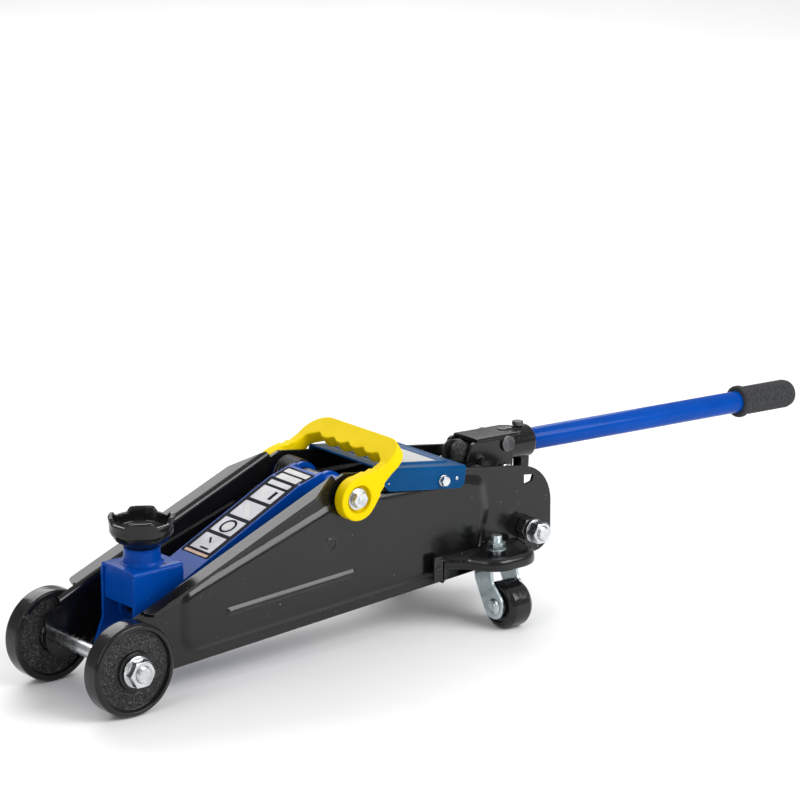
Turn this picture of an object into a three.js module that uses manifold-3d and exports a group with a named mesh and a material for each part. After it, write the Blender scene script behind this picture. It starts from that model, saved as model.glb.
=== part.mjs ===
// Low-profile hydraulic trolley jack: wheeled chassis, parallelogram lift arm with a screw-out saddle,
// hydraulic unit, pumping handle and folding carry handle. Millimetres, +Z up, +X towards the pumping
// handle. The design is drawn with X = 0 at the front axle and moved at the end so that the origin lies
// under the middle of the whole jack, on the floor.

import * as THREE from 'three';
import { mergeVertices } from 'three/addons/utils/BufferGeometryUtils.js';
import Module from 'manifold-3d';

const wasm = await Module();
wasm.setup();

// ---- driving dimensions -------------------------------------------------------------------------

const GAP = 0.3;                  // running gap between touching pieces
const DEG = Math.PI / 180;

const FRONT_WHEEL = { r: 40, inner: 48.3, outer: 67 };
const AXLE = { x: 0, z: 40, r: 6.35, threadR: 7 };
const PLATE = { inner: 43.5, thick: 3, panelRise: 3.2 };
const PLATE_OUTER = PLATE.inner + PLATE.thick;
const PANEL_OUTER = PLATE_OUTER + PLATE.panelRise;
const PEAK = { x: 222, z: 161 };            // highest corner of a side plate
const NOSE = { x: -1, z: 73.1 };            // front end of the sloping edge
const TOP_FALL = 8.6 * DEG;                 // fall of the edge behind the peak
const FLANGE_OUT = 61;

const PIVOT = { x: 239, z: 138.5 };         // main shaft of the lift arm
const ARM_LENGTH = 198;                     // main shaft to saddle bracket pins
const ARM_REST = 22.2 * DEG;                // front end below the shaft at rest
const LINK_OFFSET = { x: -22.1, z: -37.2 }; // lower link pivots, from the shaft and from the pins
const FRONT_PIN = {
  x: PIVOT.x - ARM_LENGTH * Math.cos(ARM_REST),
  z: PIVOT.z - ARM_LENGTH * Math.sin(ARM_REST),
};
const LINK_REAR = { x: PIVOT.x + LINK_OFFSET.x, z: PIVOT.z + LINK_OFFSET.z };
const LINK_FRONT = { x: FRONT_PIN.x + LINK_OFFSET.x, z: FRONT_PIN.z + LINK_OFFSET.z };
const ARM_HALF = 20;
const ARM_WALL = 4;
const BRACKET = { inner: 20.6, outer: 23.8, top: 42.3, collarTop: 56.2 };
const LINK = { inner: 30, outer: 35, halfWidth: 13 };
const SCREW_R = 9.75;
const SCREW_BOTTOM = -20;                   // below the pins when wound in
const SADDLE = { r: 29, bottom: 56.7, top: 83.5 };

const HORN_PIN = { x: PIVOT.x + 30.6, z: PIVOT.z - 28.8, r: 5 };
const RAM_Z = 103;
const RAM_R = 14;
const CYLINDER = { front: 284, rear: 366, r: 22 };
const TIE_ROD = { x: 438.4, z: 70.8, r: 6 };
const PUMP = { x: 439, r: 6, top: 109.4 };
const VALVE = { x: 384, r: 5 };
const BODY_TOP = 107;

const HINGE = { x: 404, z: 120 };           // pumping hinge of the handle socket
const HANDLE_DROP = 2.57 * DEG;             // handle below level at rest
const TUBE = { height: 16.6, r: 10.2, from: 48, to: 348 };
const GRIP = { from: 339, to: 410, r: 13.4 };
const SLEEVE = { r: 14.8, from: 44, to: 76 };

const KINGPIN = { x: 386, y: 69.5, earTop: 66 };
const CASTER = { r: 21, half: 12, trail: 16 };
const FORK_TOP = 54.4;

const COVER = { from: 273.5, length: 94, outer: 51.7, sheet: 1.5, skirt: 20, above: 3.3 };
const CARRY = { lean: 33 * DEG, inner: 52.2, outer: 62, eyeInner: 50.2, eyeR: 18.9 };

const SIDES = [['left', -1], ['right', 1]];

// ---- solids and materials -----------------------------------------------------------------------

function toSolid(geometry) {
  const bare = geometry.clone();
  bare.deleteAttribute('normal');
  bare.deleteAttribute('uv');
  const merged = mergeVertices(bare, 1e-4);
  return new wasm.Manifold(new wasm.Mesh({
    numProp: 3,
    vertProperties: new Float32Array(merged.attributes.position.array),
    triVerts: new Uint32Array(merged.index.array),
  }));
}

function toGeometry(solid) {
  const mesh = solid.getMesh();
  const geometry = new THREE.BufferGeometry();
  geometry.setAttribute('position', new THREE.BufferAttribute(mesh.vertProperties, 3));
  geometry.setIndex(new THREE.BufferAttribute(mesh.triVerts, 1));
  return geometry;
}

function join(first, ...others) {
  return toGeometry(others.reduce((sum, item) => sum.add(toSolid(item)), toSolid(first)));
}

function cut(first, ...others) {
  return toGeometry(others.reduce((rest, item) => rest.subtract(toSolid(item)), toSolid(first)));
}

function common(first, second) {
  return toGeometry(toSolid(first).intersect(toSolid(second)));
}

const finish = (color, roughness, metalness) => new THREE.MeshStandardMaterial({ color, roughness, metalness });
const BLACK = finish(0x141414, 0.22, 0.1);
const BLUE = finish(0x0a4fb0, 0.25, 0.1);
const COVER_BLUE = finish(0x0a4f86, 0.28, 0.1);
const CAST = finish(0x161616, 0.45, 0.4);
const ZINC = finish(0xc4c8cc, 0.3, 0.9);
const STEEL = finish(0x8f9398, 0.4, 0.9);
const YELLOW = finish(0xf7d400, 0.5, 0);
const FOAM = finish(0x333538, 0.9, 0);

const jack = new THREE.Group();
jack.name = 'trolley_jack';

function piece(name, geometry, material, parent = jack) {
  const mesh = new THREE.Mesh(geometry, material);
  mesh.name = name;
  parent.add(mesh);
  return mesh;
}

// ---- shapes -------------------------------------------------------------------------------------

// Corners are [x, y] or [x, y, fillet radius]; each fillet is an arc in steps of about 30 degrees.
function outline(corners) {
  const points = [];
  corners.forEach(([x, y, radius], i) => {
    const at = new THREE.Vector2(x, y);
    if (!radius) {
      points.push(at);
      return;
    }
    const before = corners[(i + corners.length - 1) % corners.length];
    const after = corners[(i + 1) % corners.length];
    const back = new THREE.Vector2(before[0], before[1]).sub(at).normalize();
    const ahead = new THREE.Vector2(after[0], after[1]).sub(at).normalize();
    const half = Math.acos(back.dot(ahead)) / 2;
    const centre = back.clone().add(ahead).normalize().multiplyScalar(radius / Math.sin(half)).add(at);
    const start = back.multiplyScalar(radius / Math.tan(half)).add(at).sub(centre);
    const end = ahead.multiplyScalar(radius / Math.tan(half)).add(at).sub(centre);
    const sweep = Math.atan2(start.cross(end), start.dot(end));
    const steps = Math.max(2, Math.ceil(Math.abs(sweep) / (30 * DEG)));
    for (let k = 0; k <= steps; k += 1) {
      points.push(start.clone().rotateAround(new THREE.Vector2(), (sweep * k) / steps).add(centre));
    }
  });
  return points;
}

// Prism of an outline drawn in X and Z, from y0 to y1.
function prismXZ(corners, y0, y1) {
  const low = Math.min(y0, y1);
  const high = Math.max(y0, y1);
  const shape = new THREE.Shape(outline(corners));
  const geometry = new THREE.ExtrudeGeometry(shape, { depth: high - low, bevelEnabled: false });
  return geometry.rotateX(90 * DEG).translate(0, high, 0);
}

// Prism of an outline drawn in X and Y, from z0 to z1.
function prismXY(corners, z0, z1) {
  const shape = new THREE.Shape(outline(corners));
  return new THREE.ExtrudeGeometry(shape, { depth: z1 - z0, bevelEnabled: false }).translate(0, 0, z0);
}

// Prism of an outline drawn in Y and Z, from x0 to x1.
function prismYZ(corners, x0, x1) {
  const shape = new THREE.Shape(outline(corners));
  const geometry = new THREE.ExtrudeGeometry(shape, { depth: x1 - x0, bevelEnabled: false });
  return geometry.rotateX(90 * DEG).rotateZ(90 * DEG).translate(x0, 0, 0);
}

function block([x0, x1], [y0, y1], [z0, z1]) {
  const geometry = new THREE.BoxGeometry(x1 - x0, Math.abs(y1 - y0), z1 - z0);
  return geometry.translate((x0 + x1) / 2, (y0 + y1) / 2, (z0 + z1) / 2);
}

// Round bars: thin ones have fewer facets.
const facets = (r) => (r < 7 ? 10 : 14);

function rodY(r, y0, y1, at, segments = facets(r)) {
  const geometry = new THREE.CylinderGeometry(r, r, Math.abs(y1 - y0), segments);
  return geometry.translate(at.x, (y0 + y1) / 2, at.z);
}

function rodZ(r, z0, z1, x, y, segments = facets(r)) {
  const geometry = new THREE.CylinderGeometry(r, r, z1 - z0, segments);
  return geometry.rotateX(90 * DEG).translate(x, y, (z0 + z1) / 2);
}

function rodX(r, x0, x1, y, z, segments = facets(r)) {
  const geometry = new THREE.CylinderGeometry(r, r, x1 - x0, segments);
  return geometry.rotateZ(90 * DEG).translate((x0 + x1) / 2, y, z);
}

// Turned piece on a Y axis: profile pairs are [radius, distance from the middle plane], on one side.
function turnedY(profile, side, at, segments = 12) {
  const points = profile.map(([r, y]) => new THREE.Vector2(r, y));
  const geometry = new THREE.LatheGeometry(points, segments);
  if (side < 0) geometry.rotateX(180 * DEG);
  return geometry.translate(at.x, 0, at.z);
}

function turnedX(profile, at, segments = 12) {
  const points = profile.map(([r, x]) => new THREE.Vector2(r, x));
  return new THREE.LatheGeometry(points, segments).rotateZ(-90 * DEG).translate(at.x, at.y, at.z);
}

function turnedZ(profile, x, y, segments = 12) {
  const points = profile.map(([r, z]) => new THREE.Vector2(r, z));
  return new THREE.LatheGeometry(points, segments).rotateX(90 * DEG).translate(x, y, 0);
}

const hexRadius = (acrossFlats) => acrossFlats / 2 / Math.cos(30 * DEG);

function nutY(acrossFlats, y0, y1, at, boreR) {
  const body = rodY(hexRadius(acrossFlats), y0, y1, at, 6);
  return boreR ? cut(body, rodY(boreR, 2 * y0 - y1, 2 * y1 - y0, at)) : body;
}

// Flat bar with round ends between two points of the XZ plane.
function barXZ(from, to, r, y0, y1) {
  const angle = Math.atan2(to.z - from.z, to.x - from.x);
  const across = { x: -Math.sin(angle) * r, z: Math.cos(angle) * r };
  const middle = prismXZ([
    [from.x + across.x, from.z + across.z],
    [from.x - across.x, from.z - across.z],
    [to.x - across.x, to.z - across.z],
    [to.x + across.x, to.z + across.z],
  ], y0, y1);
  return join(middle, rodY(r, y0, y1, from), rodY(r, y0, y1, to));
}

// ---- chassis ------------------------------------------------------------------------------------

const plateTop = (x) => PEAK.z - (x - PEAK.x) * Math.tan(TOP_FALL);
const PLATE_BACK = 469.5;

// The cover's screws, in the cover's own frame and on the plates.
const COVER_SCREW = { x: 69.1, z: -12.4 };
const COVER_SCREW_HOLE = {
  x: COVER.from + COVER_SCREW.x * Math.cos(TOP_FALL) + COVER_SCREW.z * Math.sin(TOP_FALL),
  z: plateTop(COVER.from) + COVER.above - COVER_SCREW.x * Math.sin(TOP_FALL)
    + COVER_SCREW.z * Math.cos(TOP_FALL),
};

function panelCorners(inset) {
  return [
    [63 + inset, 37 + inset, 14], [385 - inset, 52.5 + inset, 14], [397 - inset, 96, 22],
    [392 - inset, 128 - inset, 12], [224, 134.5 - inset, 16], [63 + inset, 85 - inset, 12],
  ];
}

function sidePlate(side) {
  const web = prismXZ([
    [NOSE.x, NOSE.z, 5], [-13.5, 61, 18], [-12, 21.2, 16], [PLATE_BACK, 46.7, 19],
    [PLATE_BACK, 122.4, 38], [PEAK.x, PEAK.z, 5],
  ], side * PLATE.inner, side * PLATE_OUTER);
  const slope = (PEAK.z - NOSE.z) / (PEAK.x - NOSE.x);
  const strip = prismXZ([
    [NOSE.x - 6, NOSE.z - 6 * slope], [NOSE.x - 6, NOSE.z - 6 * slope - 3.2],
    [PEAK.x, PEAK.z - 3.2], [PEAK.x, PEAK.z],
  ], side * (PLATE_OUTER - 0.5), side * FLANGE_OUT);
  const plan = prismXY([
    [NOSE.x + 1, side * (PLATE_OUTER - 1)], [NOSE.x + 2, side * (FRONT_WHEEL.inner - 0.6)],
    [18, side * (FRONT_WHEEL.inner - 0.3)], [21.5, side * FLANGE_OUT, 5],
    [190, side * FLANGE_OUT, 6], [PEAK.x - 1, side * (PLATE_OUTER - 1)],
  ], 60, 170);
  const rise = (inset, y) => prismXZ(panelCorners(inset), side * (PLATE_OUTER - 0.5), side * y);
  const recess = prismXZ(panelCorners(5), side * (PLATE.inner - 1), side * (PLATE.inner + PLATE.panelRise));
  const bead = barXZ({ x: 108, z: 63.5 }, { x: 242, z: 69.8 }, 3.2, side * (PANEL_OUTER - 0.5),
    side * (PANEL_OUTER + 2));
  const sheet = join(web, common(strip, plan), rise(0, PLATE_OUTER + 1.6), rise(2, PANEL_OUTER), bead);
  const through = (r, at) => rodY(r, side * (PLATE.inner - 2), side * (PANEL_OUTER + 2), at);
  return cut(
    sheet,
    recess,
    through(AXLE.threadR + GAP, AXLE),
    through(TIE_ROD.r + GAP, TIE_ROD),
    through(5 + GAP, LINK_REAR),
    through(5 + GAP, PIVOT),
    through(2.6, COVER_SCREW_HOLE),
    prismXZ([[436.8, 119.3], [449.6, 117.4], [447.2, 111.4], [438.4, 109.4]], side * (PLATE.inner - 2),
      side * (PLATE_OUTER + 2)),
  );
}

SIDES.forEach(([name, side]) => piece(`side_plate_${name}`, sidePlate(side), BLACK));

// Front axle: rolled threads at both ends stand a little above the plain bar.
const axleEnd = 80.5;
piece('front_axle', join(
  rodY(AXLE.r, -46, 46, AXLE),
  rodY(AXLE.threadR, -axleEnd, -45, AXLE),
  rodY(AXLE.threadR, 45, axleEnd, AXLE),
), ZINC);

piece('rear_tie_rod', rodY(TIE_ROD.r, -74, 74, TIE_ROD), ZINC);

SIDES.forEach(([name, side]) => {
  const flangeNut = join(
    nutY(21.5, side * 68.4, side * 77.5, AXLE),
    rodY(13.6, side * 67.5, side * 69.2, AXLE),
  );
  const bore = rodY(AXLE.threadR + GAP, side * 66, side * 80, AXLE);
  piece(`front_axle_nut_${name}`, cut(flangeNut, bore), ZINC);
  piece(`rear_tie_locknut_${name}`, nutY(19, side * 46.9, side * 56.5, TIE_ROD, TIE_ROD.r + GAP), STEEL);
  const outerNut = join(
    nutY(18, side * 61.2, side * 72, TIE_ROD),
    rodY(10.4, side * 60, side * 62, TIE_ROD),
  );
  piece(`rear_tie_nut_${name}`, cut(outerNut, rodY(TIE_ROD.r + GAP, side * 58, side * 74, TIE_ROD)), ZINC);
});

// The main shaft lies between the plates; the carry handle's bolts screw into its ends.
const shaftEnd = PLATE.inner - GAP;
piece('main_shaft', cut(
  rodY(11, -shaftEnd, shaftEnd, PIVOT, 24),
  rodY(5 + GAP, -shaftEnd - 1, -30, PIVOT),
  rodY(5 + GAP, 30, shaftEnd + 1, PIVOT),
), STEEL);

SIDES.forEach(([name, side]) => {
  const shoulder = PANEL_OUTER + GAP;
  const shank = turnedY([
    [0, 31], [5, 31], [5, shoulder], [8, shoulder], [8, 57.7], [9.6, 57.7], [9.6, 59.3], [0, 59.3],
  ], side, PIVOT);
  piece(`carry_handle_bolt_${name}`, join(shank, nutY(13, side * 59, side * 64.8, PIVOT)), ZINC);
  piece(`link_rivet_${name}`, turnedY(
    [[0, 28], [8, 28], [8, 29.7], [5, 29.7], [5, 35.3], [8, 35.3], [8, 46.3], [5, 46.3], [5, 50], [0, 50]],
    side,
    LINK_REAR,
  ), BLACK);
});

// Sheet cover over the hydraulic unit, bent down over both plates and parallel to their falling edge.
function coverGeometry() {
  const { length, outer, sheet, skirt } = COVER;
  const top = block([0, length], [-outer, outer], [-sheet, 0]);
  const skirts = SIDES.map(([, side]) => prismXZ(
    [[0, 0], [0, -12, 3], [9, -skirt, 5], [length, -skirt, 6], [length, 0]],
    side * (outer - sheet),
    side * outer,
  ));
  const rim = cut(
    block([14, 84], [-38, 38], [-0.5, 1.2]),
    block([17.5, 80.5], [-34.5, 34.5], [-1, 2]),
  );
  return join(top, ...skirts, rim);
}

const coverGroup = new THREE.Group();
coverGroup.position.set(COVER.from, 0, plateTop(COVER.from) + COVER.above);
coverGroup.rotation.y = TOP_FALL;
jack.add(coverGroup);
const coverHoles = rodY(2.6, -60, 60, COVER_SCREW);
piece('top_cover', cut(coverGeometry(), coverHoles), COVER_BLUE, coverGroup);
SIDES.forEach(([name, side]) => {
  const screw = join(
    rodY(2.2, side * 44, side * 52.4, COVER_SCREW),
    rodY(5.2, side * 52, side * 53, COVER_SCREW),
    nutY(8, side * 52.5, side * 56.4, COVER_SCREW),
  );
  piece(`cover_screw_${name}`, screw, ZINC, coverGroup);
});

// ---- hydraulic unit -----------------------------------------------------------------------------

function pumpBody() {
  const front = CYLINDER.rear + GAP;
  const tank = prismXZ([
    [front, 62, 4], [452, 62, 6], [452, 84, 4], [430, 88, 3], [430, BODY_TOP, 4], [front, BODY_TOP, 4],
  ], -32, 32);
  const barrel = rodZ(11, 70, 104, PUMP.x, 0);
  const stop = prismXZ([[425, 90], [474, 93, 2], [474, 104.2, 2], [425, 104.2]], -5.5, 5.5);
  const ears = SIDES.map(([, side]) => join(
    rodY(8.5, side * 17.6, side * 22.5, HINGE),
    block([395.5, 412.5], [side * 17.6, side * 22.5], [100, HINGE.z]),
  ));
  const springLug = block([front - 6, front + 1], [-13, 13], [64, 78]);
  return cut(
    join(tank, barrel, stop, ...ears, springLug),
    rodY(TIE_ROD.r + GAP, -40, 40, TIE_ROD),
    rodZ(PUMP.r + GAP, 81, 112, PUMP.x, 0),
    rodZ(VALVE.r + GAP, 80, 112, VALVE.x, 0),
    rodY(4 + GAP, -30, 30, HINGE),
  );
}

piece('pump_body', pumpBody(), CAST);

// Open-ended barrel: a shoulder at the rear takes the ram's piston end.
piece('ram_cylinder', turnedX(
  [[RAM_R + GAP, CYLINDER.front], [20, CYLINDER.front], [CYLINDER.r, CYLINDER.front + 3],
    [CYLINDER.r, CYLINDER.rear], [RAM_R + GAP, CYLINDER.rear], [RAM_R + GAP, CYLINDER.front]],
  { x: 0, y: 0, z: RAM_Z },
  24,
), CAST);

function ramGeometry() {
  const rod = rodX(RAM_R, 276, 358, 0, RAM_Z, 24);
  const head = prismXZ([[259, 86, 4], [281, 86, 4], [281, 120, 4], [259, 120, 4]], -14, 14);
  const lug = block([262, 270], [-13, 13], [68, 87]);
  const slotHalf = 7;
  const slot = prismXZ([
    [HORN_PIN.x - slotHalf, 89.5, 4], [HORN_PIN.x + slotHalf, 89.5, 4],
    [HORN_PIN.x + slotHalf, 116.6, 4], [HORN_PIN.x - slotHalf, 116.6, 4],
  ], -20, 20);
  return cut(join(rod, head, lug), slot);
}

piece('ram', ramGeometry(), STEEL);

SIDES.forEach(([name, side]) => {
  piece(`return_spring_${name}`, turnedX(
    [[0, 270.4], [1.2, 270.4], [1.2, 278], [4.5, 281], [4.5, 349], [1.2, 352], [1.2, 359.8], [0, 359.8]],
    { x: 0, y: side * 7.5, z: 73 },
    8,
  ), STEEL);
});

piece('pump_plunger', rodZ(PUMP.r, 82, PUMP.top, PUMP.x, 0), ZINC);

piece('release_valve', cut(
  rodZ(VALVE.r, 80.5, BODY_TOP + 1.5, VALVE.x, 0),
  block([VALVE.x - 6, VALVE.x + 6], [-0.8, 0.8], [BODY_TOP - 0.5, BODY_TOP + 3]),
), ZINC);

// ---- wheels and casters -------------------------------------------------------------------------

function frontWheel(side) {
  const { r, inner, outer } = FRONT_WHEEL;
  const bore = AXLE.threadR + GAP;
  return turnedY([
    [bore, inner], [r - 1.5, inner], [r, inner + 1.5], [r, outer - 2.5], [r - 2.5, outer], [34, outer],
    [32.5, outer - 4.2], [17, outer - 3.6], [15.5, outer], [bore, outer], [bore, inner],
  ], side, AXLE, 28);
}

SIDES.forEach(([name, side]) => piece(`front_wheel_${name}`, frontWheel(side), CAST));

// Pressed ear for the kingpin: flat top, rim turned down all round its free edge, mounting tab in front.
function casterBracket(side) {
  const { x, y, earTop } = KINGPIN;
  const root = PANEL_OUTER + GAP;
  const edge = (inset) => [
    [334 + inset, side * root], [336 + inset, side * (61 - inset), 9],
    [358 + inset, side * (y + 28 - inset), 26 - inset], [414 - inset, side * (y + 28 - inset), 26 - inset],
    [424 - inset, side * (62 - inset), 9], [424 - inset, side * root],
  ];
  const dish = cut(prismXY(edge(0), earTop - 11, earTop), prismXY(edge(3), earTop - 12, earTop - 3));
  const backWall = block([334, 424], [side * root, side * (root + 3)], [FORK_TOP + 0.6, earTop]);
  const gusset = prismXZ([[334, 41.5], [346, 52], [346, 64], [334, 64]], side * root, side * 58);
  const tab = prismXZ([[325, 45, 2], [337, 45, 2], [337, 67.5, 3], [325, 67.5, 3]], side * 55.5, side * 58);
  return cut(
    join(dish, backWall, gusset, tab),
    rodZ(5 + GAP, 40, earTop + 8, x, side * y),
    rodY(2.2, side * 54, side * 60, { x: 330, z: 57 }, 16),
  );
}

function kingpinGeometry(side) {
  const { x, y, earTop } = KINGPIN;
  return join(
    rodZ(5, FORK_TOP + GAP, earTop + 13.5, x, side * y),
    turnedZ([[0, earTop + GAP], [8.6, earTop + GAP], [8.6, earTop + 1.6], [0, earTop + 1.6]], x, side * y),
    new THREE.CylinderGeometry(hexRadius(14), hexRadius(14), 6.2, 6)
      .rotateX(90 * DEG).translate(x, side * y, earTop + 4.6),
  );
}

// Fork: race cup under the ear, crown plate and two slanting arms that carry the wheel behind the pin.
function casterFork(side) {
  const { x, y, earTop } = KINGPIN;
  const near = CASTER.half + 1;
  const axleY = side * (y + CASTER.trail);
  const crown = block([x - near - 3, x + near + 3], [side * (y - 11), side * (y + 11)], [FORK_TOP - 3, FORK_TOP]);
  const arms = [x - near - 3, x + near].map((x0) => join(
    prismYZ([
      [side * (y - 11), FORK_TOP], [side * (y - 11), 42, 8], [side * (y + 5), 15],
      [side * (y + CASTER.trail + 9), 30], [side * (y + 12), 42, 8], [side * (y + 11), FORK_TOP],
    ], x0, x0 + 3),
    rodX(12, x0, x0 + 3, axleY, CASTER.r),
  ));
  const race = turnedZ([[0, FORK_TOP - 1], [16, FORK_TOP - 1], [14, earTop - 3 - GAP], [0, earTop - 3 - GAP]],
    x, side * y);
  return cut(
    join(crown, ...arms, race),
    rodZ(5 + GAP, 40, earTop + 8, x, side * y),
    rodX(4 + GAP, x - 20, x + 20, axleY, CASTER.r),
  );
}

function casterWheel(side) {
  const { r, half } = CASTER;
  const profile = [
    [4 + GAP, -half], [r - 3, -half], [r, -half + 4], [r, half - 4], [r - 3, half], [4 + GAP, half],
    [4 + GAP, -half],
  ];
  return turnedX(profile, { x: KINGPIN.x, y: side * (KINGPIN.y + CASTER.trail), z: r }, 28);
}

function casterAxle(side) {
  const end = CASTER.half + 4 + GAP;
  return turnedX(
    [[0, -end - 2], [6, -end - 2], [7.4, -end], [4, -end], [4, end], [7.4, end], [6, end + 2], [0, end + 2]],
    { x: KINGPIN.x, y: side * (KINGPIN.y + CASTER.trail), z: CASTER.r },
  );
}

SIDES.forEach(([name, side]) => {
  piece(`caster_bracket_${name}`, casterBracket(side), BLACK);
  piece(`caster_kingpin_${name}`, kingpinGeometry(side), ZINC);
  piece(`caster_fork_${name}`, casterFork(side), ZINC);
  piece(`caster_axle_${name}`, casterAxle(side), ZINC);
  piece(`caster_wheel_${name}`, casterWheel(side), CAST);
});

// ---- lift arm, links and saddle -----------------------------------------------------------------

const ARM_TOP_SLOPE = 0.4725;
const ARM_TOP_START = { x: 67.3, z: 81.6 };
const armTop = (x) => ARM_TOP_START.z + (x - ARM_TOP_START.x) * ARM_TOP_SLOPE;

function armSide(side) {
  const inner = side * (ARM_HALF - ARM_WALL);
  const outer = side * ARM_HALF;
  const web = prismXZ([
    [FRONT_PIN.x - 4, 52.2], [218, 60.5, 12], [244, 126], [232, 154], [206, armTop(206), 20],
    [64, armTop(64), 5], [FRONT_PIN.x - 6, FRONT_PIN.z + 9],
  ], inner, outer);
  const hub = rodY(13.5, side * (ARM_HALF - 1), side * 42.8, PIVOT, 20);
  return join(
    web,
    rodY(11.5, inner, outer, FRONT_PIN),
    rodY(15.5, inner, outer, PIVOT, 24),
    barXZ(PIVOT, HORN_PIN, 9.5, inner, outer),
    hub,
  );
}

function liftArm() {
  const start = FRONT_PIN.x + 24;
  const topPlate = prismXZ([
    [start, armTop(start)], [start, armTop(start) - 4], [205, armTop(205) - 4], [228, 148.9], [228, 152.9],
    [205, armTop(205)],
  ], -ARM_HALF + 0.5, ARM_HALF - 0.5);
  const floorPlate = prismXZ([[start, 53.4], [165, 57.8], [165, 61.8], [start, 57.4]],
    -ARM_HALF + 0.5, ARM_HALF - 0.5);
  return cut(
    join(armSide(-1), armSide(1), topPlate, floorPlate),
    rodY(11 + GAP, -50, 50, PIVOT, 20),
    rodY(HORN_PIN.r + GAP, -30, 30, HORN_PIN),
    rodY(6 + GAP, -30, 30, FRONT_PIN),
  );
}

piece('lift_arm', liftArm(), BLUE);
piece('ram_cross_pin', rodY(HORN_PIN.r, -24, 24, HORN_PIN), STEEL);

SIDES.forEach(([name, side]) => {
  piece(`arm_pin_${name}`, turnedY(
    [[0, 14.5], [6, 14.5], [6, 24.2], [8.6, 24.2], [8.6, 26.2], [7.6, 27.2], [0, 27.2]],
    side,
    FRONT_PIN,
  ), BLACK);
  const link = barXZ(LINK_FRONT, LINK_REAR, LINK.halfWidth, side * LINK.inner, side * LINK.outer);
  piece(`link_${name}`, cut(
    link,
    rodY(4 + GAP, side * 25, side * 40, LINK_FRONT),
    rodY(5 + GAP, side * 25, side * 40, LINK_REAR),
  ), BLACK);
  piece(`link_bolt_${name}`, join(
    rodY(4, side * 21, side * 36, LINK_FRONT),
    rodY(7.6, side * 35.4, side * 36.6, LINK_FRONT),
    nutY(13, side * 36.2, side * 41.2, LINK_FRONT),
  ), ZINC);
});

// Folded bracket that carries the saddle screw: two legs, top, front web and a threaded collar.
function saddleBracket() {
  const at = (corners) => corners.map(([x, z, r]) => [FRONT_PIN.x + x, FRONT_PIN.z + z, r]);
  const legs = SIDES.map(([, side]) => join(
    prismXZ(at([
      [-25.8, BRACKET.top, 2], [-25.8, -6], [-36, -31], [-17, -47], [-8, -32], [13, -14], [25.3, -2],
      [25.3, BRACKET.top, 2],
    ]), side * BRACKET.inner, side * BRACKET.outer),
    rodY(13, side * BRACKET.inner, side * BRACKET.outer, LINK_FRONT, 18),
  ));
  const overlap = BRACKET.inner + 0.5;
  const roof = block([FRONT_PIN.x - 25.3, FRONT_PIN.x + 25.3], [-overlap, overlap],
    [FRONT_PIN.z + BRACKET.top - 3.2, FRONT_PIN.z + BRACKET.top]);
  const frontWeb = block([FRONT_PIN.x - 23.7, FRONT_PIN.x - 20.7], [-overlap, overlap],
    [FRONT_PIN.z + 11, FRONT_PIN.z + BRACKET.top - 1]);
  const collar = turnedZ([
    [0, BRACKET.top - 1], [18.5, BRACKET.top - 1], [18.5, BRACKET.top + 0.5], [15.8, BRACKET.top + 2],
    [15.2, BRACKET.collarTop], [0, BRACKET.collarTop],
  ], FRONT_PIN.x, 0, 24).translate(0, 0, FRONT_PIN.z);
  return cut(
    join(...legs, roof, frontWeb, collar),
    rodZ(SCREW_R + GAP, FRONT_PIN.z, FRONT_PIN.z + 60, FRONT_PIN.x, 0, 20),
    rodY(6 + GAP, -40, 40, FRONT_PIN),
    rodY(5 + GAP, -40, 40, LINK_FRONT),
  );
}

piece('saddle_bracket', saddleBracket(), BLUE);
piece('link_cross_rod', cut(
  rodY(5, -29.5, 29.5, LINK_FRONT),
  rodY(4 + GAP, -30, -20, LINK_FRONT),
  rodY(4 + GAP, 20, 30, LINK_FRONT),
), BLUE);

// Screw: the top spigot sits in the saddle's foot.
const SPIGOT = { r: 7, top: SADDLE.bottom + 8 };
piece('lift_screw', turnedZ([
  [0, SCREW_BOTTOM], [SCREW_R - 1.5, SCREW_BOTTOM], [SCREW_R, SCREW_BOTTOM + 1.5],
  [SCREW_R, BRACKET.collarTop + 0.2], [SPIGOT.r, BRACKET.collarTop + 0.2], [SPIGOT.r, SPIGOT.top],
  [0, SPIGOT.top],
], FRONT_PIN.x, 0, 20).translate(0, 0, FRONT_PIN.z), STEEL);

// Cast saddle: round dish with four raised lobes left between notches in its rim.
function saddleGeometry() {
  const { r, bottom, top } = SADDLE;
  const floor = bottom + 11;
  const bore = SPIGOT.r + GAP;
  const bowl = turnedZ([
    [bore, bottom], [16, bottom], [16.5, bottom + 2], [23, bottom + 6], [27.5, bottom + 12],
    [r - 0.5, bottom + 18], [r, top - 3], [r - 1, top], [r - 5, top], [r - 6, top - 6], [22, floor + 2.5],
    [18, floor], [0, floor], [0, SPIGOT.top + GAP], [bore, SPIGOT.top + GAP], [bore, bottom],
  ], 0, 0, 24);
  const notch = (angle) => prismXZ([
    [-8, top - 4.5, 2], [8, top - 4.5, 2], [12, top + 3], [-12, top + 3],
  ], 12, r + 6).rotateZ(angle);
  const notches = [0, 90, 180, 270].map((degrees) => notch(degrees * DEG));
  return cut(bowl, ...notches).rotateZ(8 * DEG).translate(FRONT_PIN.x, 0, FRONT_PIN.z);
}

piece('saddle', saddleGeometry(), CAST);

// ---- handle socket, pumping handle --------------------------------------------------------------

// Everything on the socket is drawn from the pumping hinge, with x along the handle.
const handleGroup = new THREE.Group();
handleGroup.position.set(HINGE.x, 0, HINGE.z);
handleGroup.rotation.y = HANDLE_DROP;
jack.add(handleGroup);

const ORIGIN = { x: 0, z: 0 };
const ROLLER = { x: 35, z: -1.4, r: 7 };
const CROSS_PIN = { x: 38.5, z: 22 };

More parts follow.
